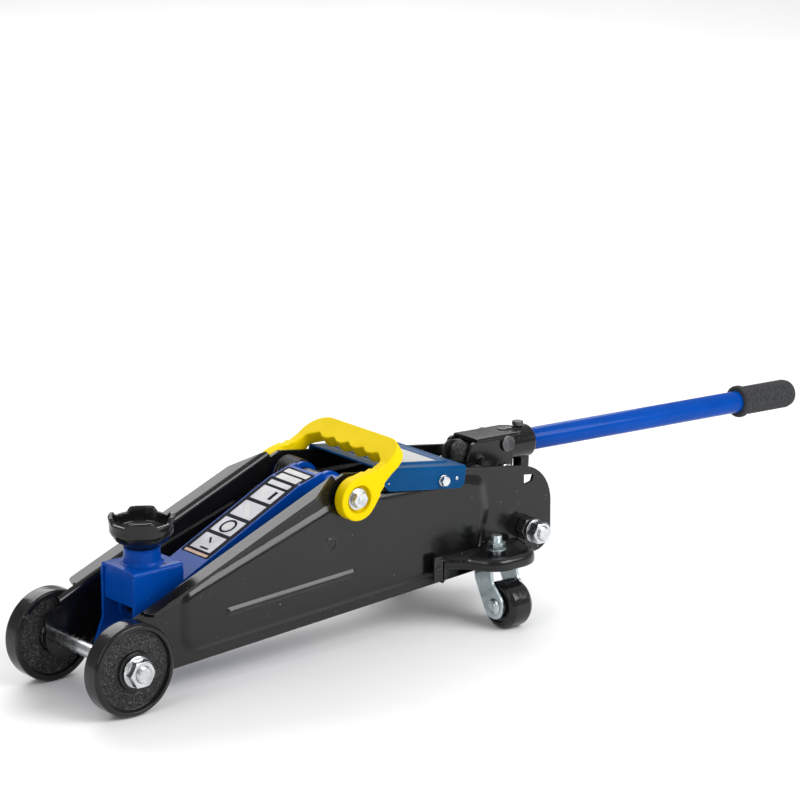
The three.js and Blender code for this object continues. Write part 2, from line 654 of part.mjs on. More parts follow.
function handleSocket() {
  const cheeks = SIDES.map(([, side]) => prismXZ([
    [-8, -8, 6], [46, -11, 4], [47, 28.5, 3], [-2, 30, 5], [-8, 12, 6],
  ], side * 13.2, side * 17));
  const web = prismXZ([[9, 26.4], [64, 25.8], [64, 29.6, 2], [9, 30, 2]], -14, 14);
  const sleeve = rodX(SLEEVE.r, SLEEVE.from, SLEEVE.to, 0, TUBE.height, 20);
  const stop = block([66, 76], [-5.5, 5.5], [-11.6, 4]);
  const rivets = rodY(4.6, -19.4, 19.4, { x: 6.3, z: 12.3 }, 20);
  const inside = block([-20, SLEEVE.from + 1], [-13.2, 13.2], [-20, 26.4]);
  const body = cut(join(...cheeks, web, sleeve, stop, rivets), inside);
  return cut(
    body,
    rodX(TUBE.r + GAP, SLEEVE.from - 2, SLEEVE.to + 2, 0, TUBE.height, 18),
    rodY(4 + GAP, -30, 30, ORIGIN),
    rodY(4 + GAP, -30, 30, ROLLER),
    rodY(4 + GAP, -30, 30, CROSS_PIN),
    rodZ(3 + GAP, 20, 40, 65, 0, 16),
  );
}

piece('handle_socket', handleSocket(), CAST, handleGroup);

SIDES.forEach(([name, side]) => {
  piece(`socket_hinge_bolt_${name}`, join(
    rodY(4, side * 13, side * 23.4, ORIGIN),
    nutY(12, side * 22.9, side * 28, ORIGIN),
  ).rotateY(HANDLE_DROP).translate(HINGE.x, 0, HINGE.z), ZINC);
});

piece('pump_roller', cut(rodY(ROLLER.r, -9, 9, ROLLER), rodY(4 + GAP, -12, 12, ROLLER)), STEEL, handleGroup);
piece('pump_roller_pin', join(
  rodY(4, -21, 21, ROLLER),
  nutY(12, -22.5, -17.4, ROLLER),
  nutY(12, 17.4, 22.5, ROLLER),
), ZINC, handleGroup);
piece('socket_cross_pin', join(
  rodY(4, -18, 18, CROSS_PIN),
  rodY(7.2, -19.4, -17.4, CROSS_PIN),
  rodY(7.2, 17.4, 19.4, CROSS_PIN),
), STEEL, handleGroup);
piece('socket_set_screw', join(
  rodZ(3, TUBE.height + TUBE.r + 0.6, 33, 65, 0, 16),
  rodZ(hexRadius(9), 31.8, 35.6, 65, 0, 6),
), STEEL, handleGroup);

piece('handle_tube', cut(
  rodX(TUBE.r, TUBE.from, TUBE.to, 0, TUBE.height, 18),
  rodX(TUBE.r - 1.6, TUBE.from - 2, TUBE.to - 6, 0, TUBE.height, 14),
), BLUE, handleGroup);

// Forked knuckle on the front of the handle; it turns the release valve.
piece('release_knuckle', cut(
  turnedX([[0, -16], [9, -16], [12, -12], [12, -3], [8, 2], [8, 7], [0, 7]], { x: 0, y: 0, z: TUBE.height }, 12),
  block([-20, -8], [-3.5, 3.5], [0, 40]),
), CAST, handleGroup);

// Moulded grip over the tube's end: a thick lip in front and a domed end.
function gripGeometry() {
  const { from, to, r } = GRIP;
  const bore = TUBE.r + GAP;
  return turnedX([
    [bore, from], [r + 0.6, from], [r + 1.6, from + 1.6], [r + 1.6, from + 4.5], [r, from + 6.5],
    [r, to - 8], [r - 1.6, to - 3], [r - 5.5, to - 0.6], [0, to], [0, TUBE.to + GAP], [bore, TUBE.to + GAP],
    [bore, from],
  ], { x: 0, y: 0, z: TUBE.height }, 20);
}

piece('handle_grip', gripGeometry(), FOAM, handleGroup);

// ---- carry handle -------------------------------------------------------------------------------

// U-shaped moulded bail. It is drawn upright about the shaft axis with z along the arms, then leaned back.
function carryHandle() {
  const { inner, outer, eyeInner, eyeR, lean } = CARRY;
  const reach = 66;
  const half = 6;
  const bow = new THREE.Shape(outline([
    [-outer, 4], [-outer, reach, 22], [outer, reach, 22], [outer, 4],
    [inner, 4], [inner, 42, 5], [41, 48, 5], [30, 43.5, 5], [20, 47, 5], [10, 43.5, 5], [0, 47, 5],
    [-10, 43.5, 5], [-20, 47, 5], [-30, 43.5, 5], [-41, 48, 5], [-inner, 42, 5], [-inner, 4],
  ]));
  const bail = new THREE.ExtrudeGeometry(bow, { depth: 2 * half, bevelEnabled: false })
    .translate(0, 0, -half).rotateX(90 * DEG).rotateZ(90 * DEG);
  const eyes = SIDES.map(([, side]) => join(
    rodY(eyeR, side * eyeInner, side * outer, ORIGIN, 24),
    prismXZ([[-11, 10], [-9, 26, 3], [9, 26, 3], [11, 10]], side * inner, side * outer),
  ));
  const openings = SIDES.map(([, side]) => join(
    rodY(8 + GAP, side * (eyeInner - 2), side * 60, ORIGIN),
    rodY(12, side * 57.4, side * 64, ORIGIN, 16),
  ));
  return cut(join(bail, ...eyes), ...openings)
    .rotateY(90 * DEG - lean).translate(PIVOT.x, 0, PIVOT.z);
}

piece('carry_handle', carryHandle(), YELLOW);

// ---- origin under the middle of the jack --------------------------------------------------------

jack.updateMatrixWorld(true);
const extent = new THREE.Box3().setFromObject(jack, true);
jack.position.x = -(extent.min.x + extent.max.x) / 2;

export default jack;
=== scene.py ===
import math

import bmesh
import bpy
import numpy as np
from mathutils import Matrix, Vector, noise


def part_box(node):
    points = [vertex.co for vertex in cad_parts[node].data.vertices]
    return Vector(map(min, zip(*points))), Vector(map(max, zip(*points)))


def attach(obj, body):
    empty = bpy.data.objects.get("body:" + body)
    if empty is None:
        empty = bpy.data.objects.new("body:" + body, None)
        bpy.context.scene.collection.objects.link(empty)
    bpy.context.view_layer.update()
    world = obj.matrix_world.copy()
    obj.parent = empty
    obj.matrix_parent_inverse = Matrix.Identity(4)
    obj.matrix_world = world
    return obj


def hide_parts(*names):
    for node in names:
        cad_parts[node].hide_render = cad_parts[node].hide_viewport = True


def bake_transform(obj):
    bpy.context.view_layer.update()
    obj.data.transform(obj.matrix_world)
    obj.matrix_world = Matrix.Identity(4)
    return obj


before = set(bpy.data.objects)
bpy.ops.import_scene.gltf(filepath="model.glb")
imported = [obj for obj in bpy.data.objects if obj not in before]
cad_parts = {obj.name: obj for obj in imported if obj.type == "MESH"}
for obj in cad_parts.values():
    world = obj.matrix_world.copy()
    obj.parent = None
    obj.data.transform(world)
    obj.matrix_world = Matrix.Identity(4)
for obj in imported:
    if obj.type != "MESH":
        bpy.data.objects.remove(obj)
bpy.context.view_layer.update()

# Lengths below are in millimetres, in the drawing frame of the part: X = 0 at the front axle, +X towards
# the pumping handle, Y = 0 in the middle of the jack, Z = 0 on the floor.
MM = 0.001
AXLE_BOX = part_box("front_axle")
SHIFT = Vector(((AXLE_BOX[0].x + AXLE_BOX[1].x) / 2, 0, 0))
TO_ROW = Matrix.Translation(SHIFT) @ Matrix.Diagonal((MM, MM, MM, 1))
SIDES = (("left", -1), ("right", 1))


def centre(node):
    low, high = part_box(node)
    return ((low + high) / 2 - SHIFT) / MM


def centre_xz(node):
    middle = centre(node)
    return middle.x, middle.z


AXLE = (0, centre("front_axle").z)
TIE_ROD = centre_xz("rear_tie_rod")
PIVOT = centre_xz("main_shaft")
FRONT_PIN = centre_xz("arm_pin_left")
LINK_FRONT = centre_xz("link_cross_rod")
LINK_REAR = centre_xz("link_rivet_left")
KINGPIN = (centre("caster_kingpin_right").x, centre("caster_kingpin_right").y)
CASTER_AXLE = centre("caster_axle_right")
PLATE_INNER = 43.5
PANEL_OUTER = 49.7
PEAK = (222, 161)
NOSE = (-1, 73.1)
TOP_FALL = math.radians(8.6)
HANDLE_DROP = math.radians(2.57)
CARRY_TURN = math.radians(57)
TUBE_HEIGHT = 16.6
COVER_FRAME = Matrix.Translation((273.5, 0, 156.51)) @ Matrix.Rotation(TOP_FALL, 4, "Y")
HANDLE_FRAME = Matrix.Translation((404, 0, 120)) @ Matrix.Rotation(HANDLE_DROP, 4, "Y")
CARRY_FRAME = Matrix.Translation((PIVOT[0], 0, PIVOT[1])) @ Matrix.Rotation(CARRY_TURN, 4, "Y")

# ---- camera, floor and light -----------------------------

AZIMUTH, ELEVATION, DISTANCE = math.radians(-39.47), math.radians(15.67), 3362
AIM = Vector((334.0, 0, 196.2))
LENS, SENSOR = 173.65, 36


def add_object(name, data):
    item = bpy.data.objects.new(name, data)
    bpy.context.collection.objects.link(item)
    return item


def add_camera():
    back = Vector((
        math.sin(AZIMUTH) * math.cos(ELEVATION),
        -math.cos(AZIMUTH) * math.cos(ELEVATION),
        math.sin(ELEVATION),
    ))
    data = bpy.data.cameras.new("camera")
    data.sensor_width = SENSOR
    data.lens = LENS
    data.clip_end = 100
    camera = add_object("camera", data)
    camera.location = TO_ROW @ (AIM + back * DISTANCE)
    camera.rotation_euler = (-back).to_track_quat("-Z", "Y").to_euler()
    bpy.context.scene.camera = camera


def area_light(name, size, power, at, aim):
    data = bpy.data.lights.new(name, "AREA")
    data.shape = "RECTANGLE"
    data.size, data.size_y = size
    data.energy = power
    light = add_object(name, data)
    light.location = at
    light.rotation_euler = (Vector(aim) - Vector(at)).to_track_quat("-Z", "Y").to_euler()


def add_world():
    """Soft grey surroundings, lighter overhead, for the reflections."""
    world = bpy.data.worlds.new("studio")
    bpy.context.scene.world = world
    world.use_nodes = True
    nodes, links = world.node_tree.nodes, world.node_tree.links
    place = nodes.new("ShaderNodeTexCoord")
    split = nodes.new("ShaderNodeSeparateXYZ")
    ramp = nodes.new("ShaderNodeValToRGB")
    stops = ((0.0, 0.5), (0.5, 0.34), (0.62, 0.5), (1.0, 0.8))
    elements = ramp.color_ramp.elements
    while len(elements) < len(stops):
        elements.new(0.5)
    for element, (at, value) in zip(elements, stops):
        element.position = at
        element.color = (value, value, value * 1.01, 1)
    links.new(place.outputs["Generated"], split.inputs[0])
    links.new(split.outputs["Z"], ramp.inputs[0])
    links.new(ramp.outputs[0], nodes["Background"].inputs[0])
    bpy.context.scene.view_settings.view_transform = "Standard"


# ---- materials -------------------------------------------

def add_node(tree, kind, inputs, **settings):
    """Adds a shader node. A socket among its inputs is linked, and anything else is set."""
    node = tree.nodes.new(f"ShaderNode{kind}")
    for name, value in settings.items():
        setattr(node, name, value)
    for name, value in inputs.items():
        if isinstance(value, bpy.types.NodeSocket):
            tree.links.new(value, node.inputs[name])
        else:
            node.inputs[name].default_value = value
    return node.outputs


def noise_node(tree, scale, detail=3.0, stretch=None):
    source = add_node(tree, "TexCoord", {})["Object"]
    if stretch:
        source = add_node(tree, "Mapping", {"Scale": stretch, "Vector": source})["Vector"]
    return add_node(tree, "TexNoise", {"Scale": scale, "Detail": detail, "Vector": source})["Fac"]


def map_range(tree, value, from_min, from_max, to_min, to_max):
    inputs = {"From Min": from_min, "From Max": from_max, "To Min": to_min, "To Max": to_max, "Value": value}
    return add_node(tree, "MapRange", inputs)["Result"]


def mix_colour(tree, factor, first, second):
    first, second = [(*value, 1) if isinstance(value, tuple) else value for value in (first, second)]
    return add_node(tree, "Mix", {"Factor": factor, 6: first, 7: second}, data_type="RGBA")[2]


def edge_mask(tree, radius):
    """1 on sharp edges, 0 on flat faces."""
    rounded = add_node(tree, "Bevel", {"Radius": radius}, samples=3)[0]
    flat = add_node(tree, "NewGeometry", {})["Normal"]
    dot = add_node(tree, "VectorMath", {0: rounded, 1: flat}, operation="DOT_PRODUCT")["Value"]
    return map_range(tree, dot, 0.985, 0.9, 0, 1)


def bump(tree, shader, heights):
    """Stacks bumps: pairs of (height socket, distance in metres)."""
    below = {}
    for height, distance in heights:
        normal = add_node(tree, "Bump", {"Strength": 1, "Distance": distance, "Height": height, **below})["Normal"]
        below = {"Normal": normal}
    tree.links.new(normal, shader.inputs["Normal"])


def surface(name, low, high, rough, metallic=0.0, tint_scale=18, bumps=(), wear=None, specks=None,
            stretch=None, specular=0.5):
    """Procedural finish: two close colours, uneven roughness, layered bump, worn edges and light specks."""
    material = bpy.data.materials.new(name)
    material.use_nodes = True
    tree = material.node_tree
    shader = tree.nodes["Principled BSDF"]
    shader.inputs["Metallic"].default_value = metallic
    shader.inputs["Specular IOR Level"].default_value = specular
    tint = map_range(tree, noise_node(tree, tint_scale, 4, stretch), 0.35, 0.65, 0, 1)
    colour = mix_colour(tree, tint, low, high)
    if specks:
        speck_colour, scale, threshold = specks
        mask = map_range(tree, noise_node(tree, scale, 1), threshold, threshold + 0.03, 0, 1)
        colour = mix_colour(tree, mask, colour, speck_colour)
    if wear:
        wear_colour, amount = wear
        patches = map_range(tree, noise_node(tree, 90, 3), 0.45, 0.62, 0, amount)
        mask = add_node(tree, "Math", {0: edge_mask(tree, 0.0008), 1: patches}, operation="MULTIPLY")[0]
        colour = mix_colour(tree, mask, colour, wear_colour)
    tree.links.new(colour, shader.inputs["Base Color"])
    roughness = map_range(tree, noise_node(tree, tint_scale * 2.3, 5, stretch), 0.3, 0.7, *rough)
    tree.links.new(roughness, shader.inputs["Roughness"])
    if bumps:
        bump(tree, shader, [(noise_node(tree, scale, 3, stretch), distance) for scale, distance in bumps])
    return material


BLACK = surface(
    "black_paint", (0.004, 0.004, 0.0042), (0.007, 0.007, 0.0072), (0.14, 0.26), tint_scale=9,
    bumps=((55, 0.00012), (900, 0.000012)), wear=((0.12, 0.12, 0.12), 0.7), specks=((0.2, 0.2, 0.19), 420, 0.775),
    specular=0.37,
)
GLOSS = surface(
    "black_gloss", (0.004, 0.004, 0.0045), (0.009, 0.009, 0.0095), (0.10, 0.22), tint_scale=25,
    bumps=((140, 0.0003), (700, 0.00003)), wear=((0.10, 0.10, 0.10), 0.6), specks=((0.16, 0.16, 0.16), 500, 0.775),
    specular=0.35,
)
CAST = surface(
    "rough_casting", (0.007, 0.007, 0.007), (0.018, 0.018, 0.018), (0.30, 0.55), tint_scale=160,
    bumps=((520, 0.0018), (1500, 0.0012)), specks=((0.13, 0.13, 0.125), 900, 0.60), specular=0.4,
)
BLUE = surface(
    "blue_paint", (0.0, 0.046, 0.28), (0.001, 0.059, 0.35), (0.12, 0.24), tint_scale=14,
    bumps=((70, 0.00012), (900, 0.000012)), wear=((0.02, 0.14, 0.55), 0.6), specks=((0.12, 0.22, 0.5), 480, 0.79),
    specular=0.09,
)
COVER = surface(
    "cover_paint", (0.0, 0.048, 0.15), (0.0008, 0.062, 0.19), (0.14, 0.28), tint_scale=12,
    bumps=((60, 0.00012), (900, 0.000012)), wear=((0.03, 0.20, 0.42), 0.6), specks=((0.12, 0.25, 0.4), 480, 0.79),
    specular=0.07,
)
ZINC = surface(
    "zinc_plate", (0.50, 0.52, 0.54), (0.66, 0.68, 0.69), (0.16, 0.36), metallic=1.0, tint_scale=120,
    bumps=((200, 0.00006), (1400, 0.00002)), wear=((0.8, 0.8, 0.8), 0.8),
)
BLUE_ZINC = surface(
    "blue_zinc", (0.42, 0.50, 0.53), (0.58, 0.66, 0.68), (0.22, 0.42), metallic=1.0, tint_scale=90,
    bumps=((200, 0.0002), (1200, 0.00005)), wear=((0.75, 0.78, 0.8), 0.8),
)
STEEL = surface(
    "oiled_steel", (0.055, 0.055, 0.058), (0.13, 0.13, 0.135), (0.28, 0.5), metallic=1.0, tint_scale=110,
    bumps=((300, 0.0002), (1300, 0.00005)), wear=((0.4, 0.4, 0.4), 0.7),
)
BRIGHT = surface(
    "ground_steel", (0.50, 0.50, 0.51), (0.62, 0.62, 0.63), (0.14, 0.3), metallic=1.0, tint_scale=60,
    stretch=(30, 1, 1), bumps=((400, 0.00002),),
)
YELLOW = surface(
    "yellow_plastic", (0.74, 0.53, 0.0), (0.80, 0.60, 0.0), (0.48, 0.62), tint_scale=22,
    bumps=((120, 0.0002), (1500, 0.00005)), wear=((0.9, 0.70, 0.02), 0.8), specular=0.06,
)
FOAM = surface(
    "foam_grip", (0.022, 0.023, 0.025), (0.042, 0.043, 0.046), (0.78, 0.95), tint_scale=420,
    bumps=((260, 0.0004), (1300, 0.0006)), specks=((0.075, 0.076, 0.08), 1300, 0.66), specular=0.25,
)
LABEL_DARK = surface(
    "label_dark", (0.010, 0.011, 0.016), (0.020, 0.021, 0.028), (0.60, 0.75), tint_scale=60, bumps=((800, 0.00002),),
    specular=0.04,
)
LABEL_LIGHT = surface(
    "label_light", (0.36, 0.36, 0.41), (0.48, 0.47, 0.50), (0.32, 0.45), tint_scale=40, bumps=((800, 0.00002),),
)
LABEL_WARM = surface(
    "label_warm", (0.42, 0.24, 0.15), (0.50, 0.30, 0.19), (0.32, 0.45), tint_scale=60, bumps=((800, 0.00002),),
)
LABEL_GREY = surface(
    "label_grey", (0.42, 0.42, 0.41), (0.50, 0.50, 0.48), (0.35, 0.5), tint_scale=30, bumps=((900, 0.00003),),
)
FLOOR = surface(
    "studio_floor", (0.86, 0.86, 0.86), (0.88, 0.88, 0.88), (0.55, 0.65), tint_scale=3, bumps=((40, 0.00005),),
)

# Slot names by material; piece() looks up the one for its first material but does not give it to the object.
SLOTS = {
    BLACK: "black_paint", GLOSS: "black_iron", CAST: "black_iron", BLUE: "blue_paint", COVER: "cover_paint",
    ZINC: "zinc_plate", BLUE_ZINC: "zinc_plate", STEEL: "dark_steel", BRIGHT: "dark_steel",
    YELLOW: "yellow_plastic", FOAM: "foam_grip",
}

# ---- outlines and solids ---------------------------------

def fillet(corners, closed=True, step=9):
    """Corners are (x, y) or (x, y, radius); each radius becomes an arc in steps of a few degrees."""
    points = []
    count = len(corners)
    for i, corner in enumerate(corners):
        at = Vector(corner[:2])
        radius = corner[2] if len(corner) > 2 else 0
        if not radius or (not closed and i in (0, count - 1)):
            points.append(tuple(at))
            continue
        back = (Vector(corners[i - 1][:2]) - at).normalized()
        ahead = (Vector(corners[(i + 1) % count][:2]) - at).normalized()
        half = math.acos(max(-1, min(1, back.dot(ahead)))) / 2
        middle = at + (back + ahead).normalized() * (radius / math.sin(half))
        start = at + back * (radius / math.tan(half)) - middle
        end = at + ahead * (radius / math.tan(half)) - middle
        sweep = math.atan2(start.x * end.y - start.y * end.x, start.dot(end))
        steps = max(2, math.ceil(abs(math.degrees(sweep)) / step))
        for k in range(steps + 1):
            turn = sweep * k / steps
            cos, sin = math.cos(turn), math.sin(turn)
            points.append((middle.x + start.x * cos - start.y * sin, middle.y + start.x * sin + start.y * cos))
    return points


# How a point (a, b) of an outline at depth t lies in space, by the outline's plane.
PLACE = {
    "XZ": lambda a, b, t: (a, t, b),
    "XY": lambda a, b, t: (a, b, t),
    "YZ": lambda a, b, t: (t, a, b),
}


def prism(corners, plane, low, high, index=0):
    outline = fillet(corners)
    place = PLACE[plane]
    count = len(outline)
    verts = [place(a, b, t) for t in (low, high) for a, b in outline]
    faces = [tuple(range(count))[::-1], tuple(range(count, 2 * count))]
    faces += [(i, (i + 1) % count, count + (i + 1) % count, count + i) for i in range(count)]
    return verts, faces, index


def block(x, y, z):
    return prism([(x[0], y[0]), (x[1], y[0]), (x[1], y[1]), (x[0], y[1])], "XY", *z)


def rectangle(start, end, half, first=0, second=0):
    """Corners of a rectangle from start to end along X, with a corner radius at each end."""
    return [(start, -half, first), (end, -half, second), (end, half, second), (start, half, first)]


def span(side, low, high):
    """Range from low to high on one side of the jack, in rising order."""
    return sorted((side * low, side * high))


def on_middle(point):
    """A point (x, z) on the jack's middle plane."""
    return point[0], 0, point[1]


def bar(first, second, radius, low, high):
    """Flat bar with round ends between two points of the XZ plane."""
    angle = math.atan2(second[1] - first[1], second[0] - first[0])
    outline = []
    for at, start in ((second, -90), (first, 90)):
        for k in range(19):
            turn = angle + math.radians(start + 10 * k)
            outline.append((at[0] + radius * math.cos(turn), at[1] + radius * math.sin(turn)))
    return prism(outline, "XZ", low, high)


# How a point of a turned solid lies in space, by its axis: radius, cosine, sine, distance along the axis.
AXES = {
    "X": lambda r, c, s, t, at: (at[0] + t, at[1] + r * c, at[2] + r * s),
    "Y": lambda r, c, s, t, at: (at[0] + r * s, at[1] + t, at[2] + r * c),
    "Z": lambda r, c, s, t, at: (at[0] + r * c, at[1] + r * s, at[2] + t),
}


def lathe(profile, axis, at=(0, 0, 0), side=1, steps=64, index=0, shape=None):
    """Turned solid: the profile is (radius, distance along the axis) and, where a corner is rounded, its radius.

    shape(angle, r, t) may change a point's radius and distance.
    """
    if any(len(corner) > 2 for corner in profile):
        profile = fillet(profile, closed=False)
    place = AXES[axis]
    verts, rings = [], []
    for r, t in profile:
        ring = []
        if r < 1e-6:
            ring = [len(verts)] * steps
            verts.append(place(0, 0, 0, side * t, at))
        else:
            for k in range(steps):
                angle = 2 * math.pi * k / steps
                radius, along = shape(angle, r, t) if shape else (r, t)
                ring.append(len(verts))
                verts.append(place(radius, math.cos(angle), math.sin(angle), side * along, at))
        rings.append(ring)
    faces = []
    for a, b in zip(rings, rings[1:]):
        for k in range(steps):
            corners = [a[k], a[(k + 1) % steps], b[(k + 1) % steps], b[k]]
            unique = list(dict.fromkeys(corners))
            if len(unique) > 2:
                faces.append(tuple(unique))
    return verts, faces, index


def rod(radius, low, high, axis, at=(0, 0, 0), chamfer=0.5):
    profile = [(0, low), (radius - chamfer, low), (radius, low + chamfer), (radius, high - chamfer),
               (radius - chamfer, high), (0, high)]
    return lathe(profile, axis, at, 1, 48)


def hex_nut(across, low, high, axis, at=(0, 0, 0), side=1, hole=0.0):
    """Hexagon with its corners turned down at both faces, as on a real nut or bolt head."""
    flat = across / 2
    slope = math.tan(math.radians(30))

    def reach(angle):
        return flat / math.cos((angle + math.pi / 6) % (math.pi / 3) - math.pi / 6)

    def shape(angle, r, t):
        if r < flat * 0.97:
            return r, t
        drop = (reach(angle) - flat) * slope
        if r < flat * 1.01:
            return flat * 0.97, t
        return reach(angle), t + drop if t < (low + high) / 2 else t - drop

    inner = [(hole + 0.5, low), (flat * 0.96, low), (flat, low), (flat * 1.02, low)]
    outer = [(flat * 1.02, high), (flat, high), (flat * 0.96, high), (hole + 0.5, high)]
    if hole:
        profile = [(hole, low + 0.5), *inner, *outer, (hole, high - 0.5), (hole, low + 0.5)]
    else:
        profile = [(0, low), *inner[1:], *outer[:-1], (0, high)]
    return lathe(profile, axis, at, side, 72, 0, shape)


def thread(radius, pitch, low, high, axis, at=(0, 0, 0), side=1, depth=None, around=40):
    """Threaded rod with chamfered ends: the radius follows a helix."""
    depth = depth or pitch * 0.5
    core = radius - depth
    rows = max(4, round((high - low) / (pitch / 6)))
    levels = [low + (high - low) * k / rows for k in range(rows + 1)]

    def shape(angle, r, t):
        if r < radius * 0.9 and t in (low, high):
            return r, t
        phase = (t / pitch - angle / (2 * math.pi)) % 1
        ridge = min(1, max(0, 1.35 * (1 - abs(2 * phase - 1))))
        end = min(1, (min(t - low, high - t) + 0.25 * depth) / depth)
        taper = (core + depth * ridge) * 0.04 * (end - 1)
        return taper + core + depth * min(ridge, end), t

    profile = [(0, low), *[(radius, t) for t in levels], (0, high)]
    return lathe(profile, axis, at, side, around, 0, shape)


def threaded_bar(core, radius, pitch, end, at):
    """Bar across the jack with a thread at each end."""
    ends = [thread(radius, pitch, 46, end, "Y", at, side) for side in (1, -1)]
    return [rod(core, -46.5, 46.5, "Y", at), *ends]


def tube_along(path, radius, guide, around=8):
    """Round wire along a path of points, with closed ends. The path never runs parallel to the guide."""
    verts, faces = [], []
    for i, point in enumerate(path):
        ahead = (path[min(i + 1, len(path) - 1)] - path[max(i - 1, 0)]).normalized()
        first = ahead.cross(Vector(guide)).normalized()
        second = ahead.cross(first)
        for k in range(around):
            turn = 2 * math.pi * k / around
            verts.append(tuple(point + (first * math.cos(turn) + second * math.sin(turn)) * radius))
    for i in range(len(path) - 1):
        for k in range(around):
            a, b = i * around + k, i * around + (k + 1) % around
            faces.append((a, b, b + around, a + around))
    faces.append(tuple(range(around))[::-1])
    faces.append(tuple(range(len(verts) - around, len(verts))))
    return verts, faces, 0


def signed_distance(polygon, points):
    """Distance of each point inside a closed outline, negative outside it."""
    poly = np.array(polygon)
    nxt = np.roll(poly, -1, axis=0)
    best = np.full(len(points), 1e9)
    inside = np.zeros(len(points), bool)
    for a, b in zip(poly, nxt):
        ab, ap = b - a, points - a
        t = np.clip((ap @ ab) / max(ab @ ab, 1e-12), 0, 1)
        best = np.minimum(best, np.linalg.norm(ap - t[:, None] * ab, axis=1))
        crosses = (a[1] > points[:, 1]) != (b[1] > points[:, 1])
        at = a[0] + (points[:, 1] - a[1]) / (b[1] - a[1] + 1e-12) * (b[0] - a[0])
        inside ^= crosses & (points[:, 0] < at)
    return np.where(inside, best, -best)


def smooth(value):
    t = np.clip(value, 0, 1)
    return t * t * (3 - 2 * t)


def touching(faces):
    """The faces with their edges and corners, as bmesh operators want them."""
    return faces + list({e for f in faces for e in f.edges}) + list({v for f in faces for v in f.verts})


def clip_to(mesh, outline, test=lambda centre: True):
    """Keeps what lies inside a convex, anticlockwise outline, among the faces whose centres pass a test."""
    for i, a in enumerate(outline):
        b = outline[(i + 1) % len(outline)]
        edge = Vector((b[0] - a[0], b[1] - a[1], 0))
        if edge.length < 1e-6:
            continue
        faces = [f for f in mesh.faces if test(f.calc_center_median())]
        bmesh.ops.bisect_plane(mesh, geom=touching(faces), plane_co=(*a, 0), plane_no=(edge.y, -edge.x, 0),
                               clear_outer=True)


def cut_hole(mesh, outline):
    """Opens a convex, anticlockwise hole in a flat grid."""
    xs, ys = [p[0] for p in outline], [p[1] for p in outline]

    def near(face):
        c = face.calc_center_median()
        return min(xs) - 6 < c.x < max(xs) + 6 and min(ys) - 6 < c.y < max(ys) + 6

    planes = []
    for i, a in enumerate(outline):
        b = outline[(i + 1) % len(outline)]
        planes.append((Vector((*a, 0)), Vector((b[1] - a[1], a[0] - b[0], 0)).normalized()))
    for point, normal in planes:
        bmesh.ops.bisect_plane(mesh, geom=touching([f for f in mesh.faces if near(f)]), plane_co=point,
                               plane_no=normal)
    gone = [f for f in mesh.faces if near(f)
            and all((f.calc_center_median() - p).dot(n) < 0 for p, n in planes)]
    bmesh.ops.delete(mesh, geom=gone, context="FACES")


def grid(us, vs):
    """Flat bmesh grid with its rows at the given places along X and Y."""
    mesh = bmesh.new()
    rows = [[mesh.verts.new((u, v, 0)) for v in vs] for u in us]
    for i in range(len(us) - 1):
        for j in range(len(vs) - 1):
            mesh.faces.new((rows[i][j], rows[i + 1][j], rows[i + 1][j + 1], rows[i][j + 1]))
    return mesh


def steps(start, end, size):
    count = max(1, round((end - start) / size))
    return [start + (end - start) * k / count for k in range(count + 1)]


def as_part(mesh, place):
    """Flat bmesh grid to a part: place turns an array of (u, v) into an array of points."""
    mesh.verts.index_update()
    flat = np.array([v.co[:2] for v in mesh.verts])
    verts = [tuple(p) for p in place(flat)]
    faces = [tuple(v.index for v in f.verts) for f in mesh.faces]
    mesh.free()
    return verts, faces, 0


def fold_down(across, straight, radius):
    """Sheet folded down on both sides: where each point across it comes to lie, and how far it drops."""
    over = np.abs(across) - straight
    bend = np.clip(over / radius, 0, math.pi / 2)
    out = np.minimum(np.abs(across), straight) + radius * np.sin(bend)
    drop = radius * (1 - np.cos(bend)) + np.maximum(over - radius * math.pi / 2, 0)
    return np.sign(across) * out, drop


def folded_sheet(start, end, half, radius, top, fine, corners=None):
    """Strip along X whose long sides fold down. corners(reach) trims the flat sheet to an outline."""
    straight = half - radius
    reach = straight + radius * math.pi / 2
    rows = [*steps(-reach, -straight, fine), *steps(-straight, straight, 4)[1:-1], *steps(straight, reach, fine)]
    mesh = grid(steps(start, end, 4), rows)
    if corners:
        clip_to(mesh, fillet(corners(reach)))

    def place(flat):
        y, drop = fold_down(flat[:, 1], straight, radius)
        return np.stack([flat[:, 0], y, top - drop], 1)

    return as_part(mesh, place)


def mirrored(part):
    verts, faces, index = part
    return [(x, -y, z) for x, y, z in verts], [tuple(reversed(f)) for f in faces], index


def piece(name, parts, materials, body, nodes=(), place=None, bevel=None, thick=None, sharp=32, slot=""):
    """Joins closed parts into one object that rides on a body and stands for its CAD nodes.

    Without a slot of its own it looks up the usual one of its first material, but the slot is not given to the object.
    """
    verts, faces, indices = [], [], []
    for part_verts, part_faces, index in parts:
        base = len(verts)
        verts += part_verts
        faces += [tuple(base + i for i in f) for f in part_faces]
        indices += [index] * len(part_faces)
    matrix = TO_ROW @ place if place else TO_ROW
    mesh = bpy.data.meshes.new(name)
    mesh.from_pydata([matrix @ Vector(v) for v in verts], [], faces)
    materials = materials if isinstance(materials, (list, tuple)) else [materials]
    for material in materials:
        mesh.materials.append(material)
    mesh.polygons.foreach_set("material_index", indices)
    work = bmesh.new()
    work.from_mesh(mesh)
    bmesh.ops.remove_doubles(work, verts=work.verts, dist=1e-6)
    if thick is None:
        bmesh.ops.recalc_face_normals(work, faces=work.faces)
    work.to_mesh(mesh)
    work.free()
    mesh.shade_smooth()
    mesh.set_sharp_from_angle(angle=math.radians(sharp))
    item = add_object(name, mesh)
    finish_edges(item, bevel, thick)
    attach(item, body)
    if nodes:
        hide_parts(*nodes)
    if slot == "":
        slot = SLOTS.get(materials[0])
    return item


